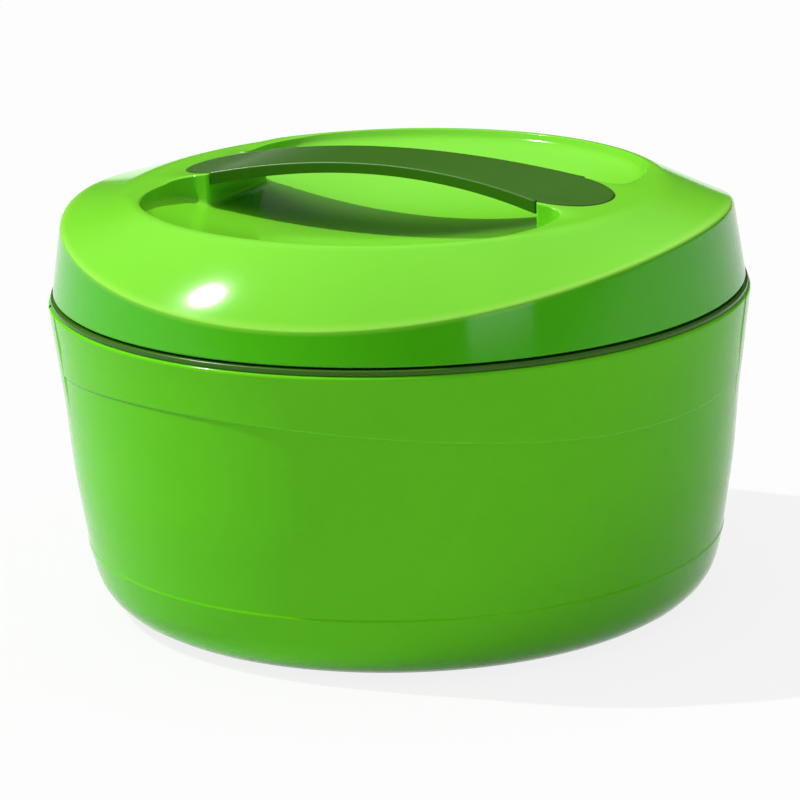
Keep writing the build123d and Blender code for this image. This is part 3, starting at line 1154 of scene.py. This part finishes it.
@dataclass
class LidShell:
    """The green lid: tapered wall, wavy crease, ridge, dish, pedestals and pockets for the handle's pads.

    Heights are above the rim.
    """

    pads: PadLine
    bottom: float = 0.0028
    base_radius: float = 0.12935
    taper_share: float = 0.155
    wall: float = 0.0025
    roof: float = 0.003
    foot_rounding: float = 0.0007
    crease_low: float = 0.0149
    crease_rise: float = 0.017
    crease_angle: float = 7.4
    crease_rounding: float = 0.002
    side_fade: float = 0.002
    ridge_radius: float = 0.1008
    ridge_draw_in: float = 0.002
    ridge_run: float = 0.0045
    ridge_room_share: float = 0.7
    flank_swell: float = 0.0012
    flank_hollow: float = 0.0004
    flank_steps: int = 10
    plateau: float = 0.0387
    roof_steps: int = 12
    dish_radius: float = 0.0975
    dish_half_length: float = 0.0805
    dish_floor: float = 0.0208
    dish_sphere: float = 0.325
    dish_corner: float = 0.048
    dish_side_steps: int = 40
    dish_corner_steps: int = 12
    dish_end_steps: int = 8
    rim_reach: float = 0.004
    end_rim_reach: float = 0.0012
    end_rim_power: int = 3
    rim_drop: float = 0.002
    ridge_share: float = 0.8
    wedge_share: float = 0.45
    shallow_depth: float = 0.003
    shallow_lean: float = 0.0025
    shallow_foot: float = 0.0045
    deep_foot: float = 0.0025
    depth_share: float = 1.4
    pedestal_half_width: float = 0.022
    pedestal_face_steps: int = 10
    pedestal_corner: float = 0.008
    pedestal_corner_steps: int = 16
    pedestal_edge: float = 0.0012
    pocket_steps: int = 48
    ramp_softness: float = 0.006
    ramp_fade: float = 0.0137
    fill_spacing: float = 0.0035

    @property
    def pocket_radius(self) -> float:
        """Radius of the round walls of the handle's pockets."""
        return self.pads.nose_radius + FIT_GAP

    @property
    def pedestal_face(self) -> float:
        """Place along the handle of a pedestal's upright face."""
        return self.pads.arch_end + FIT_GAP

    def wall_radius(self, height: float) -> float:
        """Outer radius of the tapered wall at a height."""
        return self.base_radius - self.taper_share * height

    def dish_height(self, x: float, y: float) -> float:
        """Height of the dish's floor at a place."""
        return self.dish_floor + self.dish_sphere - math.sqrt(self.dish_sphere ** 2 - x * x - y * y)

    def pocket_floor(self, x: float, y: float) -> float:
        """Height of the floor of the handle's pockets, which is level across the handle."""
        return self.pads.floor(x)

    def top_height(self, x: float, y: float) -> float:
        """Height of the top at a place: flat, with a soft rise to the pedestals beside the pads.

        Args:
            x: Place along the handle.
            y: Place across it.

        Returns:
            The height.
        """
        soft = self.ramp_softness
        run = max(-soft, self.pads.reach - abs(x))
        if run < soft:
            run = (run + soft) ** 2 / (4 * soft)
        beside = smooth_step((abs(y) - self.pocket_radius) / self.ramp_fade)
        return self.plateau + self.pads.slope() * run * (1 - beside)

    def pocket_clearance(self, x: float, y: float) -> float:
        """Distance of a place from the nearer pocket's round wall."""
        return math.hypot(abs(x) - self.pads.nose_centre, y) - self.pocket_radius

    def end_share(self, angle: float) -> float:
        """How far the crease has risen at an angle, from 0 at its lowest to 1 at the lid's ends."""
        return math.cos(angle - math.radians(self.crease_angle)) ** 2

    def shape_line(self, angle: float, inset: float, drop: float) -> tuple[Spot, Spot]:
        """Crease and ridge of the lid's form at an angle.

        Args:
            angle: The angle.
            inset: How far the wall is drawn in.
            drop: How far flank and top are lowered.

        Returns:
            The crease and the ridge, as (radius, height).
        """
        crease = self.crease_low + self.crease_rise * self.end_share(angle)
        spread = (self.wall_radius(crease) - self.ridge_radius) / (self.plateau - crease)
        top = self.plateau - drop
        run = self.ridge_radius + spread * top - self.base_radius + inset
        height = run / (spread - self.taper_share)
        return (self.wall_radius(height) - inset, height), (self.ridge_radius, top)

    def outer_outline(self, angle: float) -> Outline:
        """Outline of wall, flank and ridge at an angle, up to the flat top.

        Args:
            angle: The angle.

        Returns:
            The outline, as (radius, height).
        """
        end_share = self.end_share(angle)
        crease = Vector(self.shape_line(angle, 0, 0)[0])
        ridge = Vector((self.ridge_radius - self.ridge_draw_in * end_share, self.plateau))
        outward = (ridge - crease).normalized().orthogonal()
        swell = self.flank_swell * (1 - end_share) - self.flank_hollow * end_share
        dish = min(self.dish_radius, self.dish_half_length / max(abs(math.cos(angle)), MERGE_DISTANCE))
        run = min(self.ridge_run, (ridge.x - dish) * self.ridge_room_share)
        flank = []
        for step in range(1, self.flank_steps + 1):
            share = (1 - run / (ridge - crease).length) * step / self.flank_steps
            flank.append(crease.lerp(ridge, share) - outward * swell * 4 * share * (1 - share))
        foot = self.wall_radius(self.bottom)
        below = crease.y - self.side_fade
        spots = rounded_outline([
            Corner(foot - self.wall, self.bottom),
            Corner(foot, self.bottom, self.foot_rounding),
            Corner(self.wall_radius(below), below),
            Corner(*crease, self.crease_rounding),
            *[Corner(*spot) for spot in flank],
        ], False)
        top = Vector((ridge.x - run, self.plateau))
        return spots + [tuple(spot) for spot in soft_corner(flank[-1], ridge, top)[1:]]

    def inner_outline(self, angle: float) -> Outline:
        """Outline of the lid's hidden inner side at an angle, up to the axis.

        Args:
            angle: The angle.

        Returns:
            The outline, as (radius, height).
        """
        crease, ridge = self.shape_line(angle, self.wall, self.roof)
        side = self.dish_radius + self.roof
        foot = (self.wall_radius(self.bottom) - self.wall, self.bottom)
        spots = [foot, crease, ridge, (side, ridge[1])]
        for step in range(self.roof_steps + 1):
            radius = side * (1 - step / self.roof_steps)
            spots.append((radius, self.dish_height(radius, 0) - self.roof))
        return spots

    def dish_quarter(self) -> list[RimSpot]:
        """A quarter of the dish's plan, from its side to the middle of a pedestal's face.

        Returns:
            The places. Where the handle's pocket begins, one place stands twice.
        """
        corner_x = self.dish_half_length - self.dish_corner
        corner_y = math.sqrt((self.dish_radius - self.dish_corner) ** 2 - corner_x ** 2)
        turn = math.degrees(math.atan2(corner_y, corner_x))
        half_width = self.pedestal_half_width
        bend = (self.dish_half_length - self.pedestal_corner, half_width + self.pedestal_corner)
        edge = (self.pedestal_face + self.pedestal_edge, half_width - self.pedestal_edge)
        reach = self.pedestal_face - self.pads.nose_centre
        start = (self.pedestal_face, math.sqrt(self.pocket_radius ** 2 - reach ** 2))
        outer = arc_spots((0, 0), self.dish_radius, 90, turn, self.dish_side_steps)
        outer += arc_spots((corner_x, corner_y), self.dish_corner, turn, 0, self.dish_corner_steps)[1:]
        outer += line_spots(outer[-1], (self.dish_half_length, bend[1]), self.dish_end_steps)
        outer += arc_spots(bend, self.pedestal_corner, 0, -90, self.pedestal_corner_steps)[1:]
        outer += arc_spots(edge, self.pedestal_edge, 90, 180, ROUNDING_STEPS)
        outer.append(start)
        inner = [start, *line_spots(start, (self.pedestal_face, 0), self.pedestal_face_steps)]
        return [*[RimSpot(*spot, False) for spot in outer], *[RimSpot(*spot, True) for spot in inner]]

    def wall_rows(self, loop: Sequence[RimSpot]) -> list[list[Vector]]:
        """Rows of points over the dish's rim, down its wall and out over its foot.

        A shallow wall leans and runs out softly; a deep one stands upright on a tighter foot.

        Args:
            loop: The dish's plan.

        Returns:
            The rows, each as long as the loop.
        """
        tops, leans, feet, rims = [], [], [], []
        for spot in loop:
            top = (self.pocket_floor if spot.is_inner else self.top_height)(spot.x, spot.y)
            depth = top - self.dish_height(spot.x, spot.y)
            excess = self.depth_share * max(0.0, depth - self.shallow_depth)
            clear = max(0.0, self.pocket_clearance(spot.x, spot.y)) * self.wedge_share
            ridge = self.outer_outline(math.atan2(spot.y, spot.x))[-1][0]
            flat = (ridge - math.hypot(spot.x, spot.y)) * self.ridge_share
            end_share = min(1.0, abs(spot.x) / self.dish_half_length) ** self.end_rim_power
            reach = self.rim_reach + (self.end_rim_reach - self.rim_reach) * end_share
            tops.append(top)
            leans.append(max(0.0, self.shallow_lean - excess))
            feet.append(max(self.deep_foot, self.shallow_foot - excess))
            rims.append(0.0 if spot.is_inner else min(reach, clear, flat))
        edges = offset_loop(loop, rims)
        lows = offset_loop(loop, [-lean for lean in leans])
        ends = offset_loop(loop, [-lean - foot for lean, foot in zip(leans, feet)])

        columns = []
        for index, spot in enumerate(loop):
            height = tops[index] if spot.is_inner else self.top_height(*edges[index])
            edge = Vector((*edges[index], height))
            rim = Vector((spot.x, spot.y, tops[index]))
            low = Vector((*lows[index], self.dish_height(*lows[index])))
            end = Vector((*ends[index], self.dish_height(*ends[index])))
            depth = (rim - low).length
            upper = rim.lerp(low, min(0.5, rims[index] / self.rim_reach * self.rim_drop / depth))
            lower = low.lerp(rim, min(0.5, feet[index] / depth))
            middle = upper.copy()
            if not spot.is_inner and rims[index] == 0:
                middle.z = self.pads.floor(spot.x)
            columns.append([*soft_corner(edge, rim, upper), middle, *soft_corner(lower, low, end)])
        return [list(row) for row in zip(*columns)]

    def add_dish(self, skin: Skin, ridge_loop: Outline) -> None:
        """Adds the top, the dish's rim, walls and floor, and the pockets for the handle's pads.

        Args:
            skin: The lid's skin.
            ridge_loop: The inner edge of the ridge's rounding, in plan.
        """
        loop = full_loop(self.dish_quarter())
        rows = self.wall_rows(loop)
        skin.add_rows(rows)
        skin.add_fill([[(point.x, point.y) for point in rows[-1]]], self.dish_height, self.fill_spacing)

        start = next(spot for spot in loop if spot.is_inner)
        spread = math.degrees(math.atan2(start.y, start.x - self.pads.nose_centre))
        nose = arc_spots((self.pads.nose_centre, 0), self.pocket_radius, spread, -spread, self.pocket_steps)
        nose[0], nose[-1] = (start.x, start.y), (start.x, -start.y)
        noses = {1: nose, -1: [(-x, -y) for x, y in nose]}
        top_loop: Outline = []
        for index, spot in enumerate(loop):
            side = 1 if spot.x > 0 else -1
            if not spot.is_inner:
                top_loop.append((rows[0][index].x, rows[0][index].y))
            elif not loop[index - 1].is_inner:
                top_loop.extend(noses[side][1:-1])
        skin.add_fill([ridge_loop, top_loop], self.top_height, self.fill_spacing)
        for side, arc in noses.items():
            levels = (self.top_height, self.pocket_floor)
            side_rows = [[Vector((x, y, level(x, y))) for x, y in arc] for level in levels]
            skin.add_rows(side_rows, is_round=False)
            pedestal = inner_side(loop, side)
            skin.add_fill([[*arc, *reversed(pedestal[1:-1])]], self.pocket_floor)

    def mark_painted_light(self, piece: Piece) -> None:
        """Marks the wall below the crease, which the material darkens as painted shade, and the crease by a
        half mark, where it paints a highlight.

        Args:
            piece: The lid.
        """
        marks = piece.data.attributes.new(SIDE_MARK, "FLOAT", "POINT")
        for mark, vertex in zip(marks.data, piece.data.vertices):
            x, y, z = vertex.co
            if math.hypot(x, y) > self.ridge_radius:
                crease = self.shape_line(math.atan2(y, x), 0, 0)[0][1] + RIM_HEIGHT
                mark.value = min(1.0, max(0.0, EDGE_MARK + (crease - z) / self.side_fade))

    def build(self, finish: Finish) -> None:
        """Builds and dresses the lid's shell.

        Args:
            finish: The finishes.
        """
        skin = Skin()
        angles = even_angles()
        outlines = [self.outer_outline(angle) for angle in angles]
        skin.add_turned(outlines, angles, False)
        skin.add_turned([self.inner_outline(angle) for angle in angles], angles, False)
        edges = [outline[-1][0] for outline in outlines]
        self.add_dish(skin, [(edge * math.cos(a), edge * math.sin(a)) for edge, a in zip(edges, angles)])
        for point in skin.points:
            point.z += RIM_HEIGHT
        piece = skin.to_piece("lid", finish.lid_green)
        self.mark_painted_light(piece)
        place_piece(piece, Body.LID, "lid_green", "lid_shell")


@dataclass
class LidInside:
    """The lid's gasket and its liner: plug, disc, skirt, closing flange and locking lugs."""

    ring: RimRing
    bowl: InnerBowl
    lid: LidShell
    gasket_thickness: float = 0.002
    gasket_rounding: float = 0.0007
    plug_radius: float = 0.109
    plug_bottom: float = 0.002
    plug_rounding: float = 0.003
    wall: float = 0.002
    skirt_radius: float = 0.119
    skirt_wall: float = 0.0024
    skirt_bottom: float = 0.0036
    edge_rounding: float = 0.0006
    lug_low: float = 0.0046
    lug_high: float = 0.0074
    lug_gap: float = 0.0007

    def build(self, finish: Finish, copies: TurnedCopies) -> None:
        """Builds and dresses gasket, liner and lugs.

        Args:
            finish: The finishes.
            copies: The tree that repeats a piece round the axis.
        """
        seat = RIM_HEIGHT + self.ring.collar_rise + self.bowl.wall
        seal_top = seat + self.gasket_thickness
        inner = self.plug_radius + FIT_GAP
        seal = turned_skin([
            Corner(inner, seat, self.gasket_rounding),
            Corner(self.ring.collar_radius, seat, self.gasket_rounding),
            Corner(self.ring.collar_radius, seal_top, self.gasket_rounding),
            Corner(inner, seal_top, self.gasket_rounding),
        ], True)
        place_piece(seal.to_piece("gasket", finish.silicone), Body.SEAL, "silicone", "lid_gasket")

        fine = self.edge_rounding
        bottom = RIM_HEIGHT + self.plug_bottom
        skirt_low = RIM_HEIGHT + self.skirt_bottom
        flange = self.lid.wall_radius(self.skirt_bottom + self.wall) - self.lid.wall - FIT_GAP
        disc_top = seal_top + self.wall
        skirt_outer = self.skirt_radius + self.skirt_wall
        liner = turned_skin([
            Corner(0, bottom),
            Corner(self.plug_radius, bottom, self.plug_rounding),
            Corner(self.plug_radius, seal_top, fine),
            Corner(self.skirt_radius, seal_top, fine),
            Corner(self.skirt_radius, skirt_low, fine),
            Corner(flange, skirt_low, fine),
            Corner(flange, skirt_low + self.wall, fine),
            Corner(skirt_outer, skirt_low + self.wall, fine),
            Corner(skirt_outer, disc_top, fine),
            Corner(self.plug_radius - self.wall, disc_top, fine),
            Corner(self.plug_radius - self.wall, bottom + self.wall, fine),
            Corner(0, bottom + self.wall),
        ], False)
        place_piece(liner.to_piece("liner", finish.liner_green), Body.LID, "liner_green", "lid_liner")

        middle = 360 / self.ring.lock_count / 2
        tip = self.ring.collar_radius + self.lug_gap
        root = self.skirt_radius + self.skirt_wall / 2
        section = hook_section(root, tip, RIM_HEIGHT + self.lug_low, RIM_HEIGHT + self.lug_high, fine)
        lugs = sector_skin(section, middle, self.ring.lug_angle)
        piece = lugs.to_piece("liner_lugs", finish.liner_green)
        copies.apply(piece, self.ring.lock_count, finish.liner_green)
        place_piece(piece, Body.LID, "liner_green")


@dataclass
class Handle:
    """The olive handle: arched bar with flared ends, pads let into the lid, and its screws."""

    pads: PadLine
    nose_steps: int = 32
    arch_rise: float = 0.007
    end_thickness: float = 0.0048
    waist_thickness: float = 0.004
    waist_half_width: float = 0.015
    waist_steps: int = 40
    flare_half_width: float = 0.0215
    blend: float = 0.005
    edge_rounding: float = 0.0008
    flare_rounding: float = 0.0006
    fill_spacing: float = 0.0025
    ends: int = 2
    seat_plate: float = 0.003
    boss_spacing: float = 0.018
    boss_offset: float = 0.077
    screw_radius: float = 0.0016
    screw_head_radius: float = 0.0055
    screw_head_height: float = 0.0024
    screw_tip_cover: float = 0.0011
    screw_head_rounding: float = 0.0018
    screw_tip_rounding: float = 0.0009
    screw_edge_rounding: float = 0.0003
    screw_columns: int = 32

    def arch_height(self, x: float, rise: float, top: float) -> float:
        """Height of a round arch between the two ends of the bar.

        Args:
            x: Place along the handle.
            rise: How far the arch rises from its ends to its middle.
            top: Height of its middle.

        Returns:
            The height.
        """
        radius = (self.pads.arch_end ** 2 + rise ** 2) / (2 * rise)
        return top - radius + math.sqrt(radius ** 2 - min(abs(x), self.pads.arch_end) ** 2)

    def arch_top(self) -> float:
        """Height of the bar's highest place."""
        return RIM_HEIGHT + self.pads.top(self.pads.arch_end) + self.arch_rise

    def top_height(self, x: float, y: float) -> float:
        """Height of the upper face: an arch that runs out softly into the sloping pads.

        Args:
            x: Place along the handle.
            y: Place across it, which changes nothing.

        Returns:
            The height.
        """
        share = (abs(x) - self.pads.arch_end + self.blend) / (2 * self.blend)
        if share >= 1:
            return RIM_HEIGHT + self.pads.top(x)
        if share <= 0:
            return self.arch_height(x, self.arch_rise, self.arch_top())
        start = self.arch_height(self.pads.arch_end - self.blend, self.arch_rise, self.arch_top())
        corner = RIM_HEIGHT + self.pads.top(self.pads.arch_end)
        end = RIM_HEIGHT + self.pads.top(self.pads.arch_end + self.blend)
        return start * (1 - share) ** 2 + 2 * corner * share * (1 - share) + end * share ** 2

    def under_height(self, x: float, y: float) -> float:
        """Height of the bar's lower face, which is level across the handle."""
        rise = self.arch_rise - self.waist_thickness + self.end_thickness
        return self.arch_height(x, rise, self.arch_top() - self.waist_thickness)

    def pad_under(self, x: float, y: float) -> float:
        """Height of the pads' lower face, which is level across the handle."""
        return RIM_HEIGHT + self.pads.floor(x)

    def quarter(self) -> list[RimSpot]:
        """A quarter of the handle's plan, from its waist to the tip of its nose.

        Returns:
            The places. The pads are the inner stretch, and where one begins, one place stands twice.
        """
        arch_end = self.pads.arch_end
        flare = self.flare_half_width - self.waist_half_width
        radius = (arch_end ** 2 + flare ** 2) / (2 * flare)
        turn = math.degrees(math.asin(arch_end / radius))
        waist = arc_spots((0, self.waist_half_width + radius), radius, -90, -90 + turn, self.waist_steps)
        nose_centre = self.pads.nose_centre
        step = (arch_end, math.sqrt(self.pads.nose_radius ** 2 - (arch_end - nose_centre) ** 2))
        bend = [Corner(*waist[-2]), Corner(*waist[-1], self.flare_rounding), Corner(*step)]
        bar = [*waist[:-1], *rounded_outline(bend, False)[1:]]
        start = math.degrees(math.atan2(step[1], step[0] - nose_centre))
        nose = arc_spots((nose_centre, 0), self.pads.nose_radius, start, 0, self.nose_steps)
        nose[0] = step
        return [*[RimSpot(*spot, False) for spot in bar], *[RimSpot(*spot, True) for spot in nose]]

    def build(self, finish: Finish, copies: TurnedCopies) -> None:
        """Builds and dresses the handle and its screws.

        Args:
            finish: The finishes.
            copies: The tree that repeats a piece round the axis.
        """
        loop = full_loop(self.quarter())
        pad_end = self.pad_under(self.pads.arch_end, 0)
        unders = []
        for spot in loop:
            unders.append((self.pad_under if spot.is_inner else self.under_height)(spot.x, spot.y))
        skin = Skin()
        rows = []
        for step in range(ROUNDING_STEPS + 1):
            turn = math.pi / 2 * step / ROUNDING_STEPS
            spots = offset_loop(loop, [-self.edge_rounding * (1 - math.sin(turn))] * len(loop))
            drop = self.edge_rounding * (1 - math.cos(turn))
            rows.append([Vector((*spot, self.top_height(*spot) - drop)) for spot in spots])
        middles = [max(under, min(pad_end, point.z)) for under, point in zip(unders, rows[-1])]
        for levels in (middles, unders):
            rows.append([Vector((spot.x, spot.y, level)) for spot, level in zip(loop, levels)])
        skin.add_rows(rows)
        skin.add_fill([[(point.x, point.y) for point in rows[0]]], self.top_height, self.fill_spacing)
        bar = [(spot.x, spot.y) for spot in loop if not spot.is_inner]
        skin.add_fill([bar], self.under_height, self.fill_spacing)
        for side in (1, -1):
            pad = inner_side(loop, side)
            skin.add_fill([pad], self.pad_under)
            levels = (pad_end, self.under_height(*pad[0]))
            face = [[Vector((*spot, level)) for spot in (pad[0], pad[-1])] for level in levels]
            skin.add_rows(face, is_round=False)
        place_piece(skin.to_piece("handle_bar", finish.olive), Body.LID, "olive", "handle")
        self.build_screws(finish, copies)

    def build_screws(self, finish: Finish, copies: TurnedCopies) -> None:
        """Builds the pan-head screws that hold the handle from inside the lid.

        Args:
            finish: The finishes.
            copies: The tree that repeats a piece round the axis.
        """
        seat = self.pad_under(self.pads.reach, 0) - self.seat_plate
        low = seat - self.screw_head_height
        tip = RIM_HEIGHT + self.pads.tip_top - self.screw_tip_cover
        outline = rounded_outline([
            Corner(0, low),
            Corner(self.screw_head_radius, low, self.screw_head_rounding),
            Corner(self.screw_head_radius, seat, self.screw_edge_rounding),
            Corner(self.screw_radius, seat, self.screw_edge_rounding),
            Corner(self.screw_radius, tip, self.screw_tip_rounding),
            Corner(0, tip),
        ], False)
        angles = even_angles(self.screw_columns)
        skin = Skin()
        for across in (-self.boss_spacing / 2, self.boss_spacing / 2):
            first = len(skin.points)
            skin.add_turned([outline] * len(angles), angles, False)
            for point in skin.points[first:]:
                point += Vector((self.boss_offset, across, 0))
        piece = skin.to_piece("pad_screws", finish.screw)
        copies.apply(piece, self.ends, finish.screw)
        place_piece(piece, Body.LID, "screw_steel", "handle_screws")


@dataclass
class Studio:
    """Camera, lights, floor and surroundings.

    Lights are placed by how far they lie to the right of the view, away from the camera and up.
    """

    target: Place = (0.0, 0.0, RIM_HEIGHT)
    target_pixel: Spot = (399.2, 284.2)
    frame_pixels: int = 800
    focal_pixels: float = 3829.0
    sensor_mm: float = 36.0
    distance: float = 1.43
    azimuth: float = 28.2
    elevation: float = 14.05
    roll: float = -1.68
    sun_way: Place = (-0.59, 0.1, 0.8)
    sun_strength: float = 3.3
    sun_angle: float = 0.8
    low_sky: float = 0.04
    high_sky: float = 0.95
    sky_span: Spot = (0.3, 0.95)
    strip_target: Place = (0.0358, -0.1218, 0.137)
    strip_way: Place = (0.534, -0.844, 0.05)
    strip_distance: float = 0.9
    strip_length: float = 0.37
    strip_height: float = 0.03
    strip_glow: float = 4.2
    floor_size: float = 60.0
    floor_colour: str = "D0D0CE"
    floor_roughness: float = 0.9
    floor_whitening: float = 0.85

    def from_view(self, right: float, away: float, up: float) -> Vector:
        """A direction or place as the camera sees it.

        Args:
            right: How far to the right.
            away: How far from the camera, on the level.
            up: How far up.

        Returns:
            The same in the object's axes.
        """
        turn = math.radians(self.azimuth)
        level = Vector((math.cos(turn), math.sin(turn), 0)) * right
        return level + Vector((-math.sin(turn), math.cos(turn), 0)) * away + Vector((0, 0, up))

    def add_camera(self) -> None:
        """Places the camera so that the rim's centre falls on its pixel of the photograph."""
        rise = math.radians(self.elevation)
        right = self.from_view(1, 0, 0)
        back = self.from_view(0, -math.cos(rise), math.sin(rise))
        level = Matrix((right, back.cross(right), back)).transposed()
        middle = self.frame_pixels / 2
        across = (self.target_pixel[0] - middle) / self.focal_pixels
        over = (middle - self.target_pixel[1]) / self.focal_pixels
        aim = Vector((across, over, -1)).rotation_difference(Vector((0, 0, -1))).to_matrix()
        turn = Matrix.Rotation(math.radians(self.roll), 3, back)
        camera = add_object("camera", bpy.data.cameras.new("camera"))
        camera.data.sensor_width = self.sensor_mm
        camera.data.lens = self.focal_pixels / self.frame_pixels * self.sensor_mm
        camera.matrix_world = (turn @ level @ aim).to_4x4()
        camera.location = Vector(self.target) + back * self.distance
        bpy.context.scene.camera = camera

    def add_sun(self) -> None:
        """Adds the key light from the left, whose reflection is the hot spot on the lid's flank."""
        sun = add_object("sun", bpy.data.lights.new("sun", "SUN"))
        sun.data.energy = self.sun_strength
        sun.data.angle = math.radians(self.sun_angle)
        sun.rotation_euler = self.from_view(*self.sun_way).to_track_quat("Z", "Y").to_euler()

    def add_sky(self) -> None:
        """Adds the dim studio all round, dark at the horizon and paler overhead."""
        world = bpy.data.worlds.new("studio")
        world.use_nodes = True
        tree = world.node_tree
        way = add_node(tree, "ShaderNodeTexCoord").outputs["Generated"]
        axes = add_node(tree, "ShaderNodeSeparateXYZ", {0: way})
        strength = add_node(tree, "ShaderNodeMapRange", {
            "Value": axes.outputs["Z"],
            "From Min": self.sky_span[0],
            "From Max": self.sky_span[1],
            "To Min": self.low_sky,
            "To Max": self.high_sky,
        })
        set_inputs(tree, tree.nodes["Background"], {"Color": (1, 1, 1, 1), "Strength": strength.outputs[0]})
        bpy.context.scene.world = world

    def add_strip(self) -> None:
        """Adds the low strip light in front on the right, whose pale reflection lies on the lid's wall."""
        toward = self.from_view(*self.strip_way).normalized()
        strip = add_object("strip", bpy.data.lights.new("strip", "AREA"))
        strip.data.shape = "RECTANGLE"
        strip.data.size = self.strip_length
        strip.data.size_y = self.strip_height
        strip.data.energy = self.strip_glow * math.pi * self.strip_length * self.strip_height
        strip.location = self.from_view(*self.strip_target) + toward * self.strip_distance
        strip.rotation_euler = toward.to_track_quat("Z", "Y").to_euler()
        strip.visible_camera = False

    def floor_paper(self) -> Material:
        """Builds the floor's material, which looks whiter than the light that it gives back.

        Returns:
            The material.
        """
        bench = MaterialBench("floor_paper")
        path = add_node(bench.tree, "ShaderNodeLightPath").outputs
        mirrored = add_math(bench.tree, "MAXIMUM", path["Is Camera Ray"], path["Is Glossy Ray"])
        seen = add_math(bench.tree, "MAXIMUM", mirrored, path["Is Transmission Ray"])
        glow = add_node(bench.tree, "ShaderNodeEmission", {"Color": (1, 1, 1, 1), "Strength": 1.0})
        mix = add_node(bench.tree, "ShaderNodeMixShader", {
            0: add_math(bench.tree, "MULTIPLY", seen, self.floor_whitening),
            1: bench.shader.outputs[0],
            2: glow.outputs[0],
        })
        set_inputs(bench.tree, bench.tree.nodes["Material Output"], {"Surface": mix.outputs[0]})
        return bench.dress({"Base Color": linear(self.floor_colour), "Roughness": self.floor_roughness})

    def add_floor(self) -> None:
        """Adds the pale floor, which keeps the object's shadow."""
        half = self.floor_size / 2
        corners = [(-half, -half, 0), (half, -half, 0), (half, half, 0), (-half, half, 0)]
        mesh = bpy.data.meshes.new("floor")
        mesh.from_pydata(corners, [], [(0, 1, 2, 3)])
        mesh.materials.append(self.floor_paper())
        floor = add_object("floor", mesh)

    def build(self) -> None:
        """Builds camera, lights, sky and floor."""
        self.add_camera()
        self.add_sun()
        self.add_sky()
        self.add_strip()
        self.add_floor()
        bpy.context.scene.view_settings.view_transform = "Standard"


def dress_foam(finish: Finish) -> None:
    """Gives the hidden foam nodes their material.

    Args:
        finish: The finishes.
    """
    for name in ("body_insulation", "lid_insulation"):
        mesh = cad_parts[name].data
        mesh.materials.clear()
        mesh.materials.append(finish.foam)
        log.info("%s: carried over", name)


def main() -> None:
    """Builds the container piece by piece, then the studio."""
    logging.basicConfig(level=logging.INFO, format="%(message)s")
    finish = Finish()
    copies = TurnedCopies()
    tub = Tub()
    ring = RimRing(tub)
    bowl = InnerBowl(ring)
    pads = PadLine()
    lid = LidShell(pads)
    tub.build(finish)
    ring.build(finish, copies)
    bowl.build(finish)
    LidInside(ring, bowl, lid).build(finish, copies)
    lid.build(finish)
    Handle(pads).build(finish, copies)
    dress_foam(finish)
    Studio().build()


if __name__ == "__main__":
    main()
